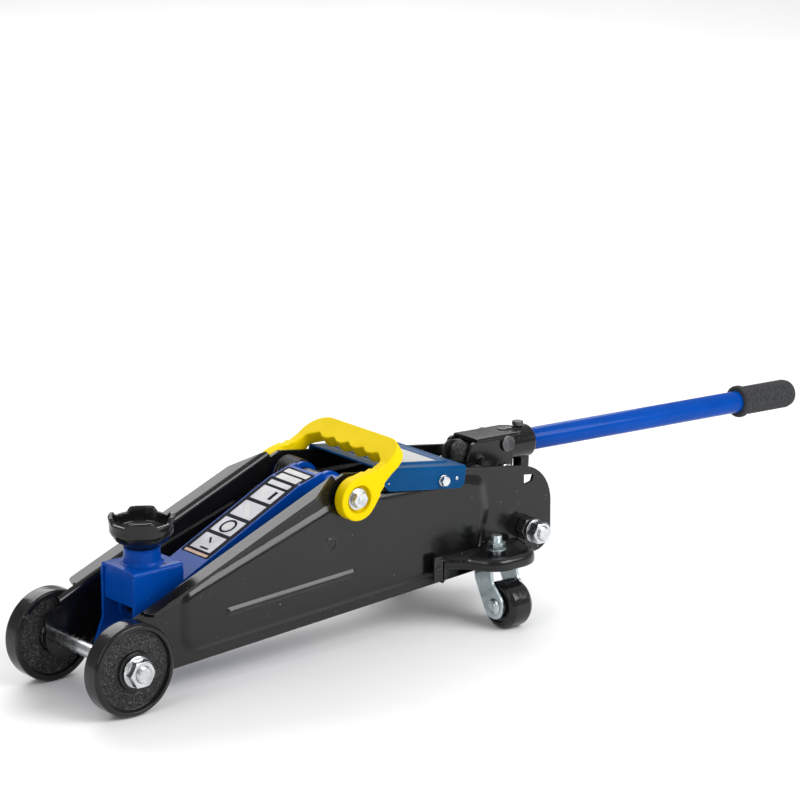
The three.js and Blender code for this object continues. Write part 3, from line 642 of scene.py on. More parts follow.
def finish_edges(item, bevel, thick=None):
    """Gives a sheet its thickness and rounds the sharp edges."""
    if thick is not None:
        solid = item.modifiers.new("thickness", "SOLIDIFY")
        solid.thickness = abs(thick) * MM
        solid.offset = 1 if thick > 0 else -1
        solid.use_even_offset = True
    if bevel:
        edge = item.modifiers.new("edges", "BEVEL")
        edge.width = bevel * MM
        edge.segments = 3
        edge.limit_method = "ANGLE"
        edge.angle_limit = math.radians(40)
        edge.use_clamp_overlap = True
        edge.harden_normals = False
        normals = item.modifiers.new("normals", "WEIGHTED_NORMAL")
        normals.keep_sharp = False
        normals.weight = 80


def finished(node, material, body, bevel=0.6):
    """Stands for a CAD node with the same shape, its flat faces joined and its edges rounded."""
    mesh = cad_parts[node].data.copy()
    mesh.name = f"{node}.finished"
    mesh.materials.clear()
    work = bmesh.new()
    work.from_mesh(mesh)
    bmesh.ops.remove_doubles(work, verts=work.verts, dist=2e-6)
    bmesh.ops.dissolve_limit(work, angle_limit=math.radians(1), verts=work.verts, edges=work.edges)
    work.to_mesh(mesh)
    work.free()
    mesh.materials.append(material)
    mesh.shade_smooth()
    mesh.set_sharp_from_angle(angle=math.radians(38))
    item = add_object(mesh.name, mesh)
    finish_edges(item, bevel)
    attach(item, body)
    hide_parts(node)


def relief(item, amount, scale, test=lambda co: True):
    """Sinks vertices below the surface by noise, for the uneven skin of a casting."""
    mesh = item.data
    normals = [v.normal.copy() for v in mesh.vertices]
    for vertex, normal in zip(mesh.vertices, normals):
        if test((vertex.co - SHIFT) / MM):
            vertex.co += normal * (noise.noise(vertex.co * scale) - 1) / 2 * amount * MM


add_camera()
add_world()
floor_mesh = bpy.data.meshes.new("floor")
floor_mesh.from_pydata([(-20, -20, 0), (20, -20, 0), (20, 20, 0), (-20, 20, 0)], [], [(0, 1, 2, 3)])
floor_mesh.materials.append(FLOOR)
add_object("floor", floor_mesh)
area_light("key", (1.7, 1.3), 52, (0.7, -1.85, 1.5), (0, 0, 0.08))
area_light("back", (3.2, 2.0), 66, (0.9, 2.5, 2.15), (0, 0, 0.08))
area_light("left", (1.2, 1.6), 16, (-2.4, -0.6, 1.5), (-0.2, 0, 0.08))

# ---- chassis ---------------------------------------------

BEND = 5.0
SLOPE = math.atan2(PEAK[1] - NOSE[1], PEAK[0] - NOSE[0])
FLANGE_REACH = 61 - PLATE_INNER - BEND
BEND_END = BEND * math.pi / 2 - BEND


def to_slope(x, z):
    dx, dz = x - NOSE[0], z - NOSE[1]
    return (dx * math.cos(SLOPE) + dz * math.sin(SLOPE), -dx * math.sin(SLOPE) + dz * math.cos(SLOPE))


def from_slope(a, b):
    x = NOSE[0] + a * math.cos(SLOPE) - b * math.sin(SLOPE)
    z = NOSE[1] + a * math.sin(SLOPE) + b * math.cos(SLOPE)
    return x, z


def plate_height(points):
    """How far the pressed panel stands out from the web: an even slope all round, then flat."""
    panel = fillet([(61, 35, 16), (387, 50.5, 16), (399, 96, 24), (393, 130, 14), (223, 136.5, 18), (61, 86.5, 14)])
    inside = signed_distance(panel, points)
    width = 5.5 + 9 * smooth((points[:, 0] - 365) / 25)
    ramp = (np.clip((inside - 0.3) / width, 0, 1) + np.clip((inside + 0.3) / width, 0, 1)) / 2
    return 3.2 * (ramp + (smooth(ramp) - ramp) * smooth((points[:, 0] - 365) / 25))


def place_plate(flat):
    a, b = flat[:, 0], flat[:, 1]
    bend = np.clip((b + BEND) / BEND, 0, math.pi / 2)
    beyond = np.maximum(b - BEND_END, 0)
    level = np.where(b < -BEND, b, -BEND + BEND * np.sin(bend))
    out = BEND * (1 - np.cos(bend)) + beyond
    x, z = from_slope(a, level)
    raised = plate_height(np.stack([x, z], 1))
    return np.stack([x, -(PLATE_INNER + out + np.where(b < -BEND, raised, 0)), z], 1)


def side_plate():
    mesh = grid(steps(-40, 466, 2), [*steps(-203, -BEND, 1.5), *steps(-BEND, BEND_END, 0.9)[1:],
                                     *steps(BEND_END, BEND_END + FLANGE_REACH, 2)[1:]])
    web = fillet([(-13.5, 61, 18), (-12, 21.2, 16), (469.5, 46.7, 19), (469.5, 122.4, 38), (*PEAK, 5),
                  (*NOSE, 5)])
    top = BEND_END + FLANGE_REACH
    flange = fillet([(22, -BEND), (240, -BEND), (239, 0), (207, top, 6), (25, top, 5), (22, BEND_END + 1)])
    lip = [(2, -BEND), (22, -BEND), (22, BEND_END - 0.6), (3, BEND_END - 0.9)]
    clip_to(mesh, [to_slope(*p) for p in web], lambda c: c.y < -BEND)
    clip_to(mesh, flange, lambda c: c.y > -BEND and c.x > 22)
    clip_to(mesh, lip, lambda c: c.y > -BEND and c.x < 22)
    cut_hole(mesh, [to_slope(*p) for p in ((436.8, 119.3), (438.4, 109.4), (447.2, 111.4), (449.6, 117.4))])
    return as_part(mesh, place_plate)


def ridge(first, second, side):
    """Pressed bead on the panel: a flat-sided ridge with round ends."""
    levels = (PANEL_OUTER - 0.6, PANEL_OUTER + 1.9)
    wide, faces, index = bar(first, second, 4.6, *levels)
    narrow = bar(first, second, 1.0, *levels)[0]
    half = len(wide) // 2
    part = (wide[:half] + narrow[half:], faces, index)
    return part if side > 0 else mirrored(part)


left_plate = side_plate()
piece("plate_left", [left_plate], BLACK, "chassis", ["side_plate_left"], bevel=0.5, thick=3)
piece("plate_right", [mirrored(left_plate)], BLACK, "chassis", ["side_plate_right"], bevel=0.5, thick=3)
for name, side in SIDES:
    piece(f"plate_bead_{name}", [ridge((108.5, 63.5), (241, 69.8), side)], BLACK, "chassis", bevel=0.5)

axle_at = on_middle(AXLE)
piece("axle_bar", threaded_bar(6.35, 7, 2, 80.5, axle_at), ZINC, "chassis", ["front_axle"])
piece("tie_bar", threaded_bar(5.8, 6, 1.75, 74, on_middle(TIE_ROD)), ZINC, "chassis", ["rear_tie_rod"])
for name, side in SIDES:
    axle, tie, pivot, rear = [("Y", on_middle(point), side) for point in (AXLE, TIE_ROD, PIVOT, LINK_REAR)]
    piece(f"axle_nut_{name}", [
        hex_nut(21.5, 69, 77.5, *axle, 7.05),
        lathe([(7.05, 67.5), (13, 67.5), (13.6, 68), (13.5, 68.8), (11.8, 70), (7.05, 70), (7.05, 67.5)], *axle),
    ], ZINC, "chassis", [f"front_axle_nut_{name}"], bevel=0.25)
    piece(f"tie_locknut_{name}", [hex_nut(19, 46.9, 56.5, *tie, 6.05)], STEEL, "chassis",
          [f"rear_tie_locknut_{name}"], bevel=0.25)
    piece(f"tie_nut_{name}", [
        hex_nut(18, 61.8, 72, *tie, 6.05),
        lathe([(6.05, 60), (10, 60), (10.4, 60.3), (10.4, 61.4), (10, 61.8), (6.05, 61.8), (6.05, 60)], *tie),
    ], ZINC, "chassis", [f"rear_tie_nut_{name}"], bevel=0.25)
    piece(f"bail_bolt_{name}", [
        lathe([(0, 31), (5, 31), (5, 50), (7.8, 50), (7.8, 57.7), (9.2, 57.7), (9.6, 58), (9.6, 59), (9.2, 59.3),
               (0, 59.3)], *pivot),
        hex_nut(13, 59.6, 64.2, *pivot),
        lathe([(0, 59.3), (6.9, 59.3), (6.9, 59.8), (0, 59.8)], *pivot),
        lathe([(0, 64), (3.2, 64), (3.0, 64.8), (0, 64.8)], *pivot),
    ], ZINC, "chassis", [f"carry_handle_bolt_{name}"], bevel=0.25)
    piece(f"rivet_{name}", [
        lathe([(0, 28), (7.4, 28), (8, 28.5), (8, 29.7), (5, 29.7), (5, 35.3), (8, 35.3), (8, 46.3), (5, 46.3),
               (5, 49.4), (5.5, 49.4), (5.6, 50.1), (6.4, 49.9), (6.5, 49.3), (4.9, 49.2), (4.8, 50.1), (4.4, 50.4),
               (0, 50.4)], *rear),
    ], BLACK, "chassis", [f"link_rivet_{name}"])

finished("main_shaft", STEEL, "chassis")


COVER_RADIUS, COVER_HALF, COVER_LENGTH = 2.6, 51.7, 94
COVER_FLAT = COVER_HALF - COVER_RADIUS
COVER_SIDE = 20


def place_cover(flat):
    """Top sheet with both sides turned down round a small radius, and a raised frame with a sunk label field."""
    y, drop = fold_down(flat[:, 1], COVER_FLAT, COVER_RADIUS)
    frame_outer = signed_distance(fillet(rectangle(13, 85, 39, 3, 3)), flat)
    frame_inner = signed_distance(fillet(rectangle(19, 79, 33, 2, 2)), flat)
    raised = 1.3 * (smooth(frame_outer / 2.2) - smooth((frame_inner + 1.1) / 2.2))
    return np.stack([flat[:, 0], y, raised - drop], 1)


def top_cover():
    arc = COVER_RADIUS * math.pi / 2
    half = COVER_FLAT + arc + COVER_SIDE - COVER_RADIUS
    bend_rows = steps(COVER_FLAT, COVER_FLAT + arc, 0.8)
    side_rows = [*bend_rows, *steps(bend_rows[-1], half, 2)[1:]]
    flat_rows = steps(-COVER_FLAT, COVER_FLAT, 1)[1:-1]
    mesh = grid(steps(0, COVER_LENGTH, 1), [*[-v for v in reversed(side_rows)], *flat_rows, *side_rows])
    clip_to(mesh, fillet([(0, -half + 8, 3), (9, -half, 5), (COVER_LENGTH, -half, 6), (COVER_LENGTH, half, 6),
                          (9, half, 5), (0, half - 8, 3)]))
    return as_part(mesh, place_cover)


piece("cover", [top_cover()], COVER, "chassis", ["top_cover"], COVER_FRAME, bevel=0.3, thick=-1.5)
piece("cover_label", [prism(rectangle(20.5, 77.5, 31.5, 1.5, 1.5), "XY", -0.02, 0.12)], LABEL_GREY, "chassis", [],
      COVER_FRAME, bevel=0.05)
for name, side in SIDES:
    bolt = ("Y", (69.1, 0, -12.4), side)
    piece(f"cover_bolt_{name}", [
        rod(2.2, *span(side, 44, 53), *bolt[:2]),
        lathe([(0, 51.8), (4.9, 51.8), (5.2, 52.1), (5.2, 52.6), (4.9, 52.9), (0, 52.9)], *bolt),
        hex_nut(8, 52.8, 56.4, *bolt),
    ], ZINC, "chassis", [f"cover_screw_{name}"], COVER_FRAME, bevel=0.2)
    piece(f"cover_marks_{name}", [
        lathe([(0.5, 51.65), (1.3, 51.65), (1.5, 51.95), (1.2, 52.1), (0.6, 52.0), (0.5, 51.65)], "Y", (84.5, 0, -11),
              side, 24),
        lathe([(0, 51.65), (0.8, 51.65), (0.7, 51.95), (0, 52.05)], "Y", (7.5, 0, -13), side, 24),
    ], ZINC, "chassis", [], COVER_FRAME)

# ---- hydraulic unit --------------------------------------

finished("pump_body", CAST, "chassis", 1.2)
finished("ram_cylinder", GLOSS, "chassis", 0.8)
finished("ram", BRIGHT, "ram_body", 0.6)
piece("plunger", [lathe([(0, 82), (5.6, 82), (6, 82.4), (6, 106), (5.4, 108.4), (3.5, 109.3), (0, 109.4)], "Z",
                        (439, 0, 0))], BRIGHT, "plunger_body", ["pump_plunger"], slot="zinc_plate")
finished("release_valve", ZINC, "valve_body", 0.4)


def spring(name, side):
    """Close-wound return spring with a straight hook wire at each end."""
    start, end, wire, coil, turns = 278.0, 352.0, 0.75, 3.7, 34
    y, z = side * 7.5, 73
    path = [Vector((x, y, z)) for x in steps(270.4, start, 2)]
    count = turns * 14
    for k in range(count + 1):
        angle = 2 * math.pi * k / 14
        grow = min(1, k / 10, (count - k) / 10)
        path.append(Vector((start + (end - start) * k / count, y + coil * grow * math.cos(angle),
                            z + coil * grow * math.sin(angle))))
    path += [Vector((x, y, z)) for x in steps(end, 359.8, 2)[1:]]
    verts, faces, _ = tube_along(path, wire, (0, 0.3, 1))
    mesh = bpy.data.meshes.new(name)
    mesh.from_pydata([TO_ROW @ Vector(v) for v in verts], [], faces)
    mesh.materials.append(STEEL)
    mesh.shade_smooth()
    item = add_object(name, mesh)
    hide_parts(f"return_{name}")
    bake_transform(item)


for name, side in SIDES:
    spring(f"spring_{name}", side)

# ---- front wheels and casters ----------------------------


def front_wheel(side):
    """Tread and rims, rough webs on both faces and the machined hub, as one closed turned surface."""
    tread = [(33.4, 51.2), (34.4, 48.5, 0.8), (38.6, 48.3, 1.2), (40, 49.8, 1.0), (40, 64.8, 2.2),
             (38, 66.8, 1.6), (35.2, 67, 0.9), (34.6, 65.4, 1.0), (33.6, 62.6, 0.8), (32.9, 62.9)]
    hub = [(17.8, 63.6), (17.0, 63.8, 0.6), (16.2, 66.6, 1.0), (14.8, 67, 0.5), (7.4, 67), (7.4, 48.3),
           (13.5, 48.3, 0.8), (15, 51.2)]
    outer_web = [(32.9 - 15.1 * k / 18, 62.9 + 0.7 * k / 18) for k in range(19)]
    inner_web = [(15 + 18.4 * k / 18, 51.2) for k in range(19)]
    return [lathe(profile, "Y", axle_at, side, 128, index)
            for profile, index in ((tread, 0), (outer_web, 1), (hub, 0), (inner_web, 1))]


for name, side in SIDES:
    wheel = piece(f"wheel_{name}", front_wheel(side), [GLOSS, CAST], f"front_wheel_{name}_body",
                  [f"front_wheel_{name}"], sharp=40)
    relief(wheel, 1.1, 420, lambda co: 17.9 < math.hypot(co.x, co.z - AXLE[1]) < 32.8)
    relief(wheel, 0.3, 90, lambda co: math.hypot(co.x, co.z - AXLE[1]) > 34)


EAR_ROOT = PANEL_OUTER + 0.3


def caster_bracket(side):
    """Pressed ear: a shallow dish whose free edge rolls down, hollow underneath."""
    tip = KINGPIN[1] + 28
    outline = fillet([(334, EAR_ROOT), (424, EAR_ROOT), (424, 62, 9), (414, tip, 26), (364, tip, 26), (352, 72, 14),
                      (336, 58, 5)], step=6)
    outer = [(1.6, 55.0), (0.5, 55.6), (0.0, 57), (0.0, 60.5), (0.5, 63), (1.7, 65), (3.6, 65.9), (5.6, 65.9),
             (8.5, 64.4), (11, 63.9), (13, 63.8)]
    inner = [(2.6, 55.4), (3, 57), (3.2, 61), (5, 62.6)]
    rings = [inset_outline(outline, inset, z) for inset, z in (*reversed(inner), *outer)]
    count = len(outline)
    verts = [point for ring in rings for point in ring]
    faces = [tuple(range(count)), tuple(range((len(rings) - 1) * count, len(rings) * count))[::-1]]
    for row in range(len(rings) - 1):
        for i in range(count):
            j = (i + 1) % count
            faces.append((row * count + i, row * count + j, (row + 1) * count + j, (row + 1) * count + i))
    part = (verts, faces, 0)
    return part if side > 0 else mirrored(part)


def inset_outline(outline, amount, height):
    """Outline moved inwards and set at a height, with its root edge kept on the plate."""
    count = len(outline)
    moved = []
    for i, point in enumerate(outline):
        along = (Vector(outline[(i + 1) % count]) - Vector(outline[i - 1])).normalized()
        at = Vector(point) + Vector((-along.y, along.x)) * amount
        moved.append((at.x, max(at.y, EAR_ROOT), height))
    return moved


def fork_arm(side, low, high):
    """Side plate of a caster fork, which leans out to the wheel's axle."""
    y = KINGPIN[1]
    outline = [(side * (y - 11), 54.4), (side * (y + 11), 54.4), (side * (y + 12), 42, 8),
               (side * (y + 28), 27, 12), (side * (y + 24.5), 8.6, 11.5), (side * (y + 6), 9.6, 9.5),
               (side * (y - 11), 42, 10)]
    return prism(outline if side > 0 else outline[::-1], "YZ", low, high)


ROLLER = [(4.3, -12), (8, -12, 0.5), (9, -10.6, 0.6), (14.5, -10.6, 0.6), (15.5, -12, 0.8),
          (18.6, -12, 2.4), (21, -7.8, 2.6), (21, 7.8, 2.6), (18.6, 12, 2.4), (15.5, 12, 0.8),
          (14.5, 10.6, 0.6), (9, 10.6, 0.6), (8, 12, 0.5), (4.3, 12), (4.3, -12)]
RIVET_END = 16.3
RIVET_HEAD = ((7.2, 0), (6.4, 1.1), (5.2, 1.6), (4.2, 1.3), (3.5, 2), (0, 2))
RIVET = [*[(r, -RIVET_END - t) for r, t in reversed(RIVET_HEAD)], (4, -RIVET_END), (4, RIVET_END),
         *[(r, RIVET_END + t) for r, t in RIVET_HEAD]]

for name, side in SIDES:
    piece(f"ear_{name}", [caster_bracket(side)], BLACK, "chassis", [f"caster_bracket_{name}"], sharp=50)
    piece(f"ear_gusset_{name}", [
        prism([(334, 41.5, 1), (346, 52, 2), (346, 63.5), (334, 63.5)], "XZ", *span(side, EAR_ROOT, 58)),
        block((334, 424), span(side, EAR_ROOT, EAR_ROOT + 3), (55.2, 65)),
        prism([(325, 45, 2.5), (337, 45, 2), (337, 67.5, 3), (325, 67.5, 3)], "XZ", *span(side, 55.5, 58)),
    ], BLACK, "chassis", bevel=0.7)
    # The tab's hole is a raised ring with a thin dark disc inside it: the disc is painted shade for the open hole.
    hole = ("Y", (330.5, 0, 57), side, 32)
    piece(f"ear_tab_hole_{name}", [
        lathe([(1.9, 57.95), (3.0, 57.95), (3.1, 58.25), (2.5, 58.4), (2.0, 58.2), (1.9, 57.95)], *hole),
        lathe([(0, 57.9), (2.0, 57.9), (2.0, 58.08), (0, 58.08)], *hole, 1),
    ], [BLACK, CAST], "chassis")
    pin_at = (KINGPIN[0], side * KINGPIN[1], 0)
    piece(f"swivel_pin_{name}", [
        thread(5, 1.5, 66, 79.5, "Z", pin_at),
        rod(5, 54.7, 67, "Z", pin_at),
        lathe([(0, 66.3), (8.2, 66.3), (8.6, 66.6), (8.6, 67.3), (8.2, 67.6), (0, 67.6)], "Z", pin_at),
        hex_nut(14, 67.6, 73.7, "Z", pin_at),
    ], BLUE_ZINC, f"caster_{name}", [f"caster_kingpin_{name}"], bevel=0.2)
    x0, x1 = KINGPIN[0] - 13, KINGPIN[0] + 13
    piece(f"fork_{name}", [
        fork_arm(side, x0 - 3, x0),
        fork_arm(side, x1, x1 + 3),
        block((x0 - 3, x1 + 3), span(side, KINGPIN[1] - 11, KINGPIN[1] + 11), (51.4, 54.4)),
        lathe([(5.3, 53.4), (16, 53.4), (16, 55.5), (15.2, 58), (13.6, 62.2), (5.3, 62.7)], "Z", pin_at),
    ], BLUE_ZINC, f"caster_{name}", [f"caster_fork_{name}"], bevel=0.7)
    wheel_at = (KINGPIN[0], side * CASTER_AXLE.y, CASTER_AXLE.z)
    piece(f"caster_rivet_{name}", [lathe(RIVET, "X", wheel_at)], BLUE_ZINC, f"caster_{name}", [f"caster_axle_{name}"])
    piece(f"caster_roller_{name}", [lathe(ROLLER, "X", wheel_at, 1, 80)], GLOSS,
          f"caster_wheel_{name}_body", [f"caster_wheel_{name}"], sharp=40)

# ---- lift arm, links and saddle --------------------------

ARM_SLOPE = 0.4725


def arm_top(x):
    return 81.6 + (x - 67.3) * ARM_SLOPE


finished("lift_arm", BLUE, "arm", 1.0)
finished("ram_cross_pin", STEEL, "arm", 0.5)
for name, side in SIDES:
    piece(f"arm_rivet_{name}", [
        lathe([(0, 14.5), (6, 14.5), (6, 24.2), (8.6, 24.2, 0.3), (8.6, 26.2, 1.2), (7.2, 27.2, 0.8),
               (3, 27.1, 0.5), (2.4, 26.5, 0.4), (0, 26.5)], "Y", on_middle(FRONT_PIN), side),
    ], GLOSS, "arm", [f"arm_pin_{name}"], slot="blue_paint")
    piece(f"link_bar_{name}", [bar(LINK_FRONT, LINK_REAR, 13, *span(side, 30, 35))], BLACK, f"link_{name}_body",
          [f"link_{name}"], bevel=0.9)
    front = ("Y", on_middle(LINK_FRONT), side)
    piece(f"link_screw_{name}", [
        rod(4, *span(side, 21, 36), *front[:2]),
        lathe([(0, 35.3), (7.3, 35.3), (7.6, 35.6), (7.6, 36.2), (7.3, 36.5), (0, 36.5)], *front),
        hex_nut(13, 36.5, 41.2, *front),
    ], ZINC, "saddle_carrier", [f"link_bolt_{name}"], bevel=0.25)


def torsion_spring():
    """Wound spring round the arm's hub, next to the far side plate, with one leg along the arm."""
    wire, coil, start, end, turns = 1.7, 15.3, 22.5, 40.5, 4.6
    path = [Vector((PIVOT[0] - 24, start, PIVOT[1] + 6)), Vector((PIVOT[0] - 12, start, PIVOT[1] + 11.5))]
    count = round(turns * 22)
    for k in range(count + 1):
        angle = math.radians(-30) + 2 * math.pi * turns * k / count
        path.append(Vector((PIVOT[0] + coil * math.sin(angle), start + (end - start) * k / count,
                            PIVOT[1] + coil * math.cos(angle))))
    return tube_along(path, wire, (0, 1, 0.05))


piece("torsion_spring", [torsion_spring()], GLOSS, "arm", sharp=60, slot="dark_steel")
piece("spacer_rod", [rod(5, -29.5, 29.5, "Y", on_middle(LINK_FRONT))], BLUE, "saddle_carrier", ["link_cross_rod"])


pin_at = on_middle(FRONT_PIN)
ROOF_TOP = FRONT_PIN[1] + 42.3
ROOF_HALF = 25.3


def bracket_leg(low, high):
    """Side of the saddle bracket, in millimetres from the front pin, cut off under the folded roof."""
    corners = [(-25.8, 42.3, 3), (-25.8, -6, 10), (-36, -31, 8), (-35, -44, 9), (-22, -51, 9), (-9, -40, 8),
               (-8, -32, 4), (13, -14, 6), (ROOF_HALF, -2, 6), (ROOF_HALF, 42.3, 3)]
    leg = [(FRONT_PIN[0] + x, min(FRONT_PIN[1] + z, ROOF_TOP - 3), r) for x, z, r in corners]
    return prism(leg[::-1], "XZ", low, high)


roof = folded_sheet(FRONT_PIN[0] - ROOF_HALF, FRONT_PIN[0] + ROOF_HALF, 23.8, 3.2, ROOF_TOP, 0.8)
piece("bracket_roof", [roof], BLUE, "saddle_carrier", thick=-3.1, bevel=0.5)
piece("bracket", [
    bracket_leg(20.7, 23.8),
    bracket_leg(-23.8, -20.7),
    block((FRONT_PIN[0] - 23.7, FRONT_PIN[0] - 20.7), (-21, 21), (FRONT_PIN[1] + 11, ROOF_TOP - 1)),
    lathe([(10.2, 41.5), (18.4, 41.5), (18.4, 42.8, 0.5), (17.2, 43.3, 0.6), (15.9, 45, 1.2), (15.4, 54.6, 0.8),
           (15.9, 55.2, 0.4), (15.6, 56.2, 0.4), (10.8, 56.2, 0.4), (10.2, 55.6), (10.2, 41.5)], "Z", pin_at),
], BLUE, "saddle_carrier", ["saddle_bracket"], bevel=0.5)
# The vent is a thin dark disc on the roof: painted shade for the small hole, not a separate part.
piece("bracket_vent", [
    lathe([(0, 0.02), (1.5, 0.02), (1.5, 0.16), (0, 0.16)], "Z", (FRONT_PIN[0] + 11, -16.5, ROOF_TOP), 1, 32),
], CAST, "saddle_carrier", slot=None)

piece("screw", [
    thread(9.75, 4, -20, 56.4, "Z", pin_at, depth=1.7, around=56),
    rod(7, 56, 64.7, "Z", pin_at),
], STEEL, "screw_body", ["lift_screw"], sharp=60)


def saddle_parts():
    """Cast cup: its rim rises into four broad lobes between sloping notches."""
    bottom, top, notch, floor = 56.7, 83.5, 79.3, 67.7
    turn = math.radians(8)

    def lobe(angle):
        away = abs((angle - turn + math.pi / 4) % (math.pi / 2) - math.pi / 4)
        return float(smooth((math.degrees(away) - 14.5) / 11))

    profile = fillet([(0, bottom + 8.3), (7.3, bottom + 8.3), (7.3, bottom), (15.5, bottom, 1), (16.8, bottom + 2, 1.5),
                      (22.6, bottom + 5.6, 4), (27.5, bottom + 12.5, 5), (27.6, bottom + 19.5, 4), (28.9, top, 2),
                      (24.2, top, 2), (23.2, top - 7, 3), (22.4, floor + 3, 2.5), (18, floor, 2.5), (0, floor)],
                     closed=False, step=12)

    def shape(angle, r, t):
        if t < floor + 2 or r < 19:
            return r, t
        share = (t - floor - 2) / (top - floor - 2)
        height = notch + (top - notch) * lobe(angle)
        flare = 0.35 * math.cos(4 * (angle - turn)) * share
        return r - max(0, flare), floor + 2 + share * (height - floor - 2)

    return lathe(profile, "Z", pin_at, 1, 144, 0, shape)


saddle = piece("saddle_cup", [saddle_parts()], GLOSS, "saddle_body", ["saddle"], sharp=50)
relief(saddle, 0.5, 110)

# Strip label along the arm's top: a dark field with plain light panels and simple shapes, no lettering.
LABEL_START, LABEL_LENGTH, LABEL_HALF, PANEL_HALF = 109, 106.2, 18.6, 14
END_START, END_SLOPE = 205, (152.9 - arm_top(205)) / 23
FIELD, PANEL, MARK = (0, 0.12), (0.1, 0.2), (0.18, 0.26)


def on_arm(x, slope):
    """Frame on the arm's top at x, rising with a slope."""
    return Matrix.Translation((x, 0, arm_top(x) + 0.05)) @ Matrix.Rotation(-math.atan(slope), 4, "Y")


def ring(x, inner, outer, index):
    bottom, top = MARK
    return lathe([(inner, bottom), (outer, bottom), (outer, top), (inner, top), (inner, bottom)], "Z", (x, 0, 0), 1,
                 40, index)


label_parts = [
    prism(rectangle(0, LABEL_LENGTH, LABEL_HALF, 2), "XY", *FIELD, 0),
    prism(rectangle(1.2, 4.2, 15.5, 1), "XY", *PANEL, 2),
]
for start, end in ((7, 27), (31, 50), (54, 74), (78, 96), (99, 104.5)):
    label_parts.append(prism(rectangle(start, end, PANEL_HALF, 1, 1), "XY", *PANEL, 1))
label_parts += [
    prism([(9, -8), (11, -8), (11, 3), (9, 3)], "XY", *MARK, 0),
    prism([(18, -3), (24, 3), (22.5, 4.5), (16.5, -1.5)], "XY", *MARK, 0),
    ring(40.5, 6, 8.4, 0),
    ring(40.5, 0.2, 3.4, 3),
    prism([(57, -9), (71, 5), (71, 9), (68, 9), (57, -4)], "XY", *MARK, 3),
    prism([(82, -9), (93, -9), (93, -5), (82, -5)], "XY", *MARK, 0),
    prism([(83, 0), (92, 7), (90, 10), (81, 3)], "XY", *MARK, 3),
]
piece("arm_label", label_parts, [LABEL_DARK, LABEL_LIGHT, LABEL_WARM, LABEL_GREY], "arm", [],
      on_arm(LABEL_START, ARM_SLOPE))
piece("arm_label_end", [
    prism(rectangle(0.2, 21, LABEL_HALF, 0, 2), "XY", *FIELD, 0),
    prism(rectangle(2, 10, PANEL_HALF, 1, 1), "XY", *PANEL, 1),
    prism(rectangle(12.5, 18.5, 15.5, 1, 1), "XY", *PANEL, 1),
], [LABEL_DARK, LABEL_GREY], "arm", [], on_arm(END_START, END_SLOPE))

# ---- handle ----------------------------------------------


TUBE_AT = (0, 0, TUBE_HEIGHT)


def socket_parts():
    cheek = [(-8, -8, 6), (46, -11, 4), (47, 26.5, 3), (-2, 27.5, 5), (-8, 12, 6)]
    return [
        prism(cheek, "XZ", -17, -13.4),
        prism(cheek, "XZ", 13.4, 17),
        lathe([(10.5, 44.5), (14.2, 44, 0.5), (14.8, 45.5, 1), (14.8, 74.5, 1), (14.0, 76, 0.6), (10.5, 76),
               (10.5, 44.5)], "X", TUBE_AT, 1, 64, 1),
        prism([(66, -11.6, 2), (76, -11.6, 2), (76, 4), (66, 4)], "XZ", -5.5, 5.5, 1),
        lathe([(0, -19.4), (3.6, -19.4), (4.6, -18.6), (4.6, 18.6), (3.6, 19.4), (0, 19.4)], "Y", (6.3, 0, 12.3)),
    ]


def web_corners(reach):
    """Flat outline of the channel's web: wide over the cheeks, then narrowing to the sleeve."""
    return [(4, -reach), (47, -reach), (64, -9, 3), (64, 9, 3), (47, reach), (4, reach)]


piece("socket_channel", socket_parts(), [BLACK, GLOSS], "socket", ["handle_socket"], HANDLE_FRAME,
      bevel=0.8, slot="black_iron")
piece("socket_web", [folded_sheet(4, 64, 17.0, 3.6, 30.0, 0.9, web_corners)], BLACK, "socket", [],
      HANDLE_FRAME, thick=-3.4, bevel=0.6, slot="black_iron")
for name, side in SIDES:
    piece(f"hinge_bolt_{name}", [
        rod(4, *span(side, 13, 23.4), "Y"),
        hex_nut(12, 22.9, 28, "Y", (0, 0, 0), side),
    ], ZINC, "chassis", [f"socket_hinge_bolt_{name}"], HANDLE_FRAME, bevel=0.25)
roller_at = (35, 0, -1.4)
piece("roller", [lathe([(4.3, -9), (6.6, -9), (7, -8.6), (7, 8.6), (6.6, 9), (4.3, 9), (4.3, -9)], "Y", roller_at)],
      BRIGHT, "roller_body", ["pump_roller"], HANDLE_FRAME)
piece("roller_bolt", [
    rod(4, -21, 21, "Y", roller_at),
    *[hex_nut(12, 17.4, 22.5, "Y", roller_at, side) for side in (1, -1)],
], ZINC, "socket", ["pump_roller_pin"], HANDLE_FRAME, bevel=0.25)
cross_at = (38.5, 0, 22)
piece("cross_pin", [
    rod(4, -18, 18, "Y", cross_at),
    *[rod(7.2, *span(side, 17.3, 19.4), "Y", cross_at, 0.4) for side in (-1, 1)],
], STEEL, "socket", ["socket_cross_pin"], HANDLE_FRAME)
piece("clamp_screw", [
    thread(3, 1, 27.6, 33, "Z", (65, 0, 0)),
    hex_nut(9, 31.8, 35.6, "Z", (65, 0, 0)),
], STEEL, "socket", ["socket_set_screw"], HANDLE_FRAME, bevel=0.2)
finished("release_knuckle", CAST, "handle", 0.8)

piece("tube", [lathe([(8.6, 48), (10.0, 48, 0.4), (10.2, 48.6), (10.2, 348), (8.6, 348), (8.6, 48)], "X", TUBE_AT,
                     1, 72)], BLUE, "handle", ["handle_tube"], HANDLE_FRAME)


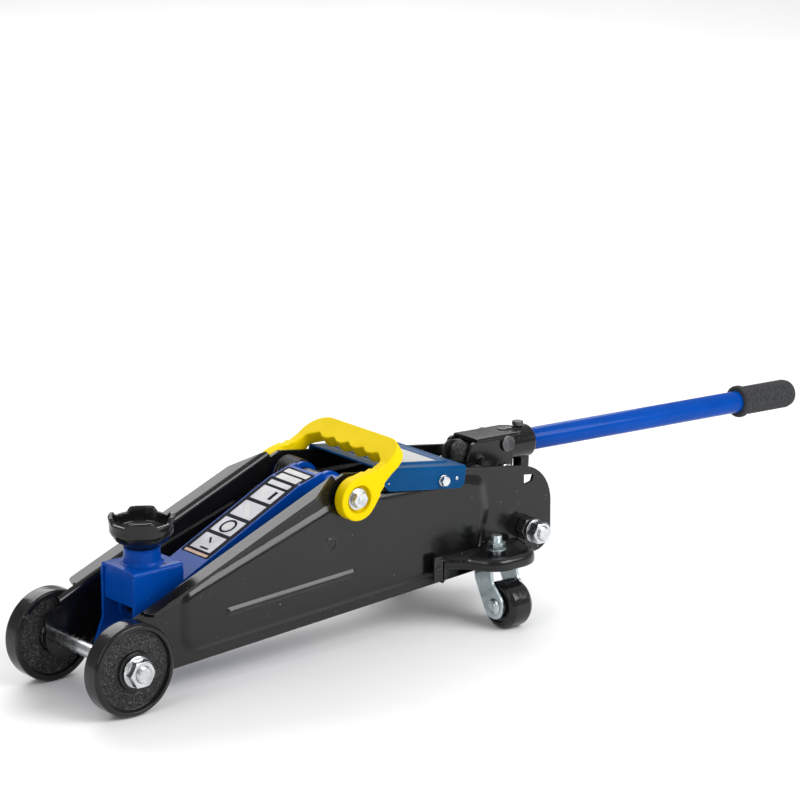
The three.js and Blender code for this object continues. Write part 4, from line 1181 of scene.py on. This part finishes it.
def foam_grip():
    """Foam sleeve with a collar, shallow waves and a closed round end."""
    body = [(10.5, 339), (13.6, 339, 1.2), (15.0, 340.4, 1.6), (15.0, 344.2, 1.8), (13.2, 347, 2.5)]
    for k in range(9):
        x = 352 + 5.6 * k
        body += [(13.15, x, 2), (13.45, x + 2.8, 2)]
    body += [(13.2, 402, 6), (11.6, 407.5, 4), (6, 409.6, 3), (0, 409.6)]
    return lathe([*fillet(body, closed=False), (0, 348.3), (10.5, 348.3), (10.5, 339)], "X", TUBE_AT, 1, 72)


piece("grip", [foam_grip()], FOAM, "handle", ["handle_grip"], HANDLE_FRAME, sharp=50)

# ---- carry handle ----------------------------------------


def bail_parts():
    """U-shaped handle with a scalloped underside, and at each foot a web and a thick recessed eye."""
    outer, inner, reach, half, foot = 61.85, 52.2, 66, 6, 13.5
    scallops = []
    for y in (30, 10, -10, -30):
        scallops += [(y + 9.6, 47.6, 4), (y + 3.2, 43.9, 5), (y - 3.2, 43.6, 5)]
    outline = [(-outer, foot), (-outer, reach, 22), (outer, reach, 22), (outer, foot), (inner, foot), (inner, 40, 7),
               *scallops, (-41, 47.2, 3), (-inner, 40, 7), (-inner, foot)]
    eye = [(12.2, 62), (18.2, 62, 1.2), (18.9, 60.8, 0.8), (18.9, 51.6, 0.8), (18.2, 50.2, 0.8),
           (8.4, 50.2), (8.4, 57.4), (12, 57.4), (12.2, 62)]
    turns = [math.radians(turn) for turn in range(20, 161, 10)]
    under = [(15.5 * math.cos(turn), 15.5 * math.sin(turn)) for turn in turns]
    flank = [(18.2, 3), (17.6, 8), (13.2, 19.5, 2), (11.2, 20.2), (9.6, 27, 2), (7.6, 28), (6, 40)]
    web = [*under, *[(-x, z, *r) for x, z, *r in flank], *reversed(flank)]
    parts = [prism(outline[::-1], "YZ", -half, half)]
    for side in (-1, 1):
        parts += [lathe(eye, "Y", (0, 0, 0), side, 72), prism(web[::-1], "XZ", *span(side, 52.4, 61.6))]
    return parts


piece("bail", bail_parts(), YELLOW, "carry_handle_body", ["carry_handle"], CARRY_FRAME, bevel=1.6)
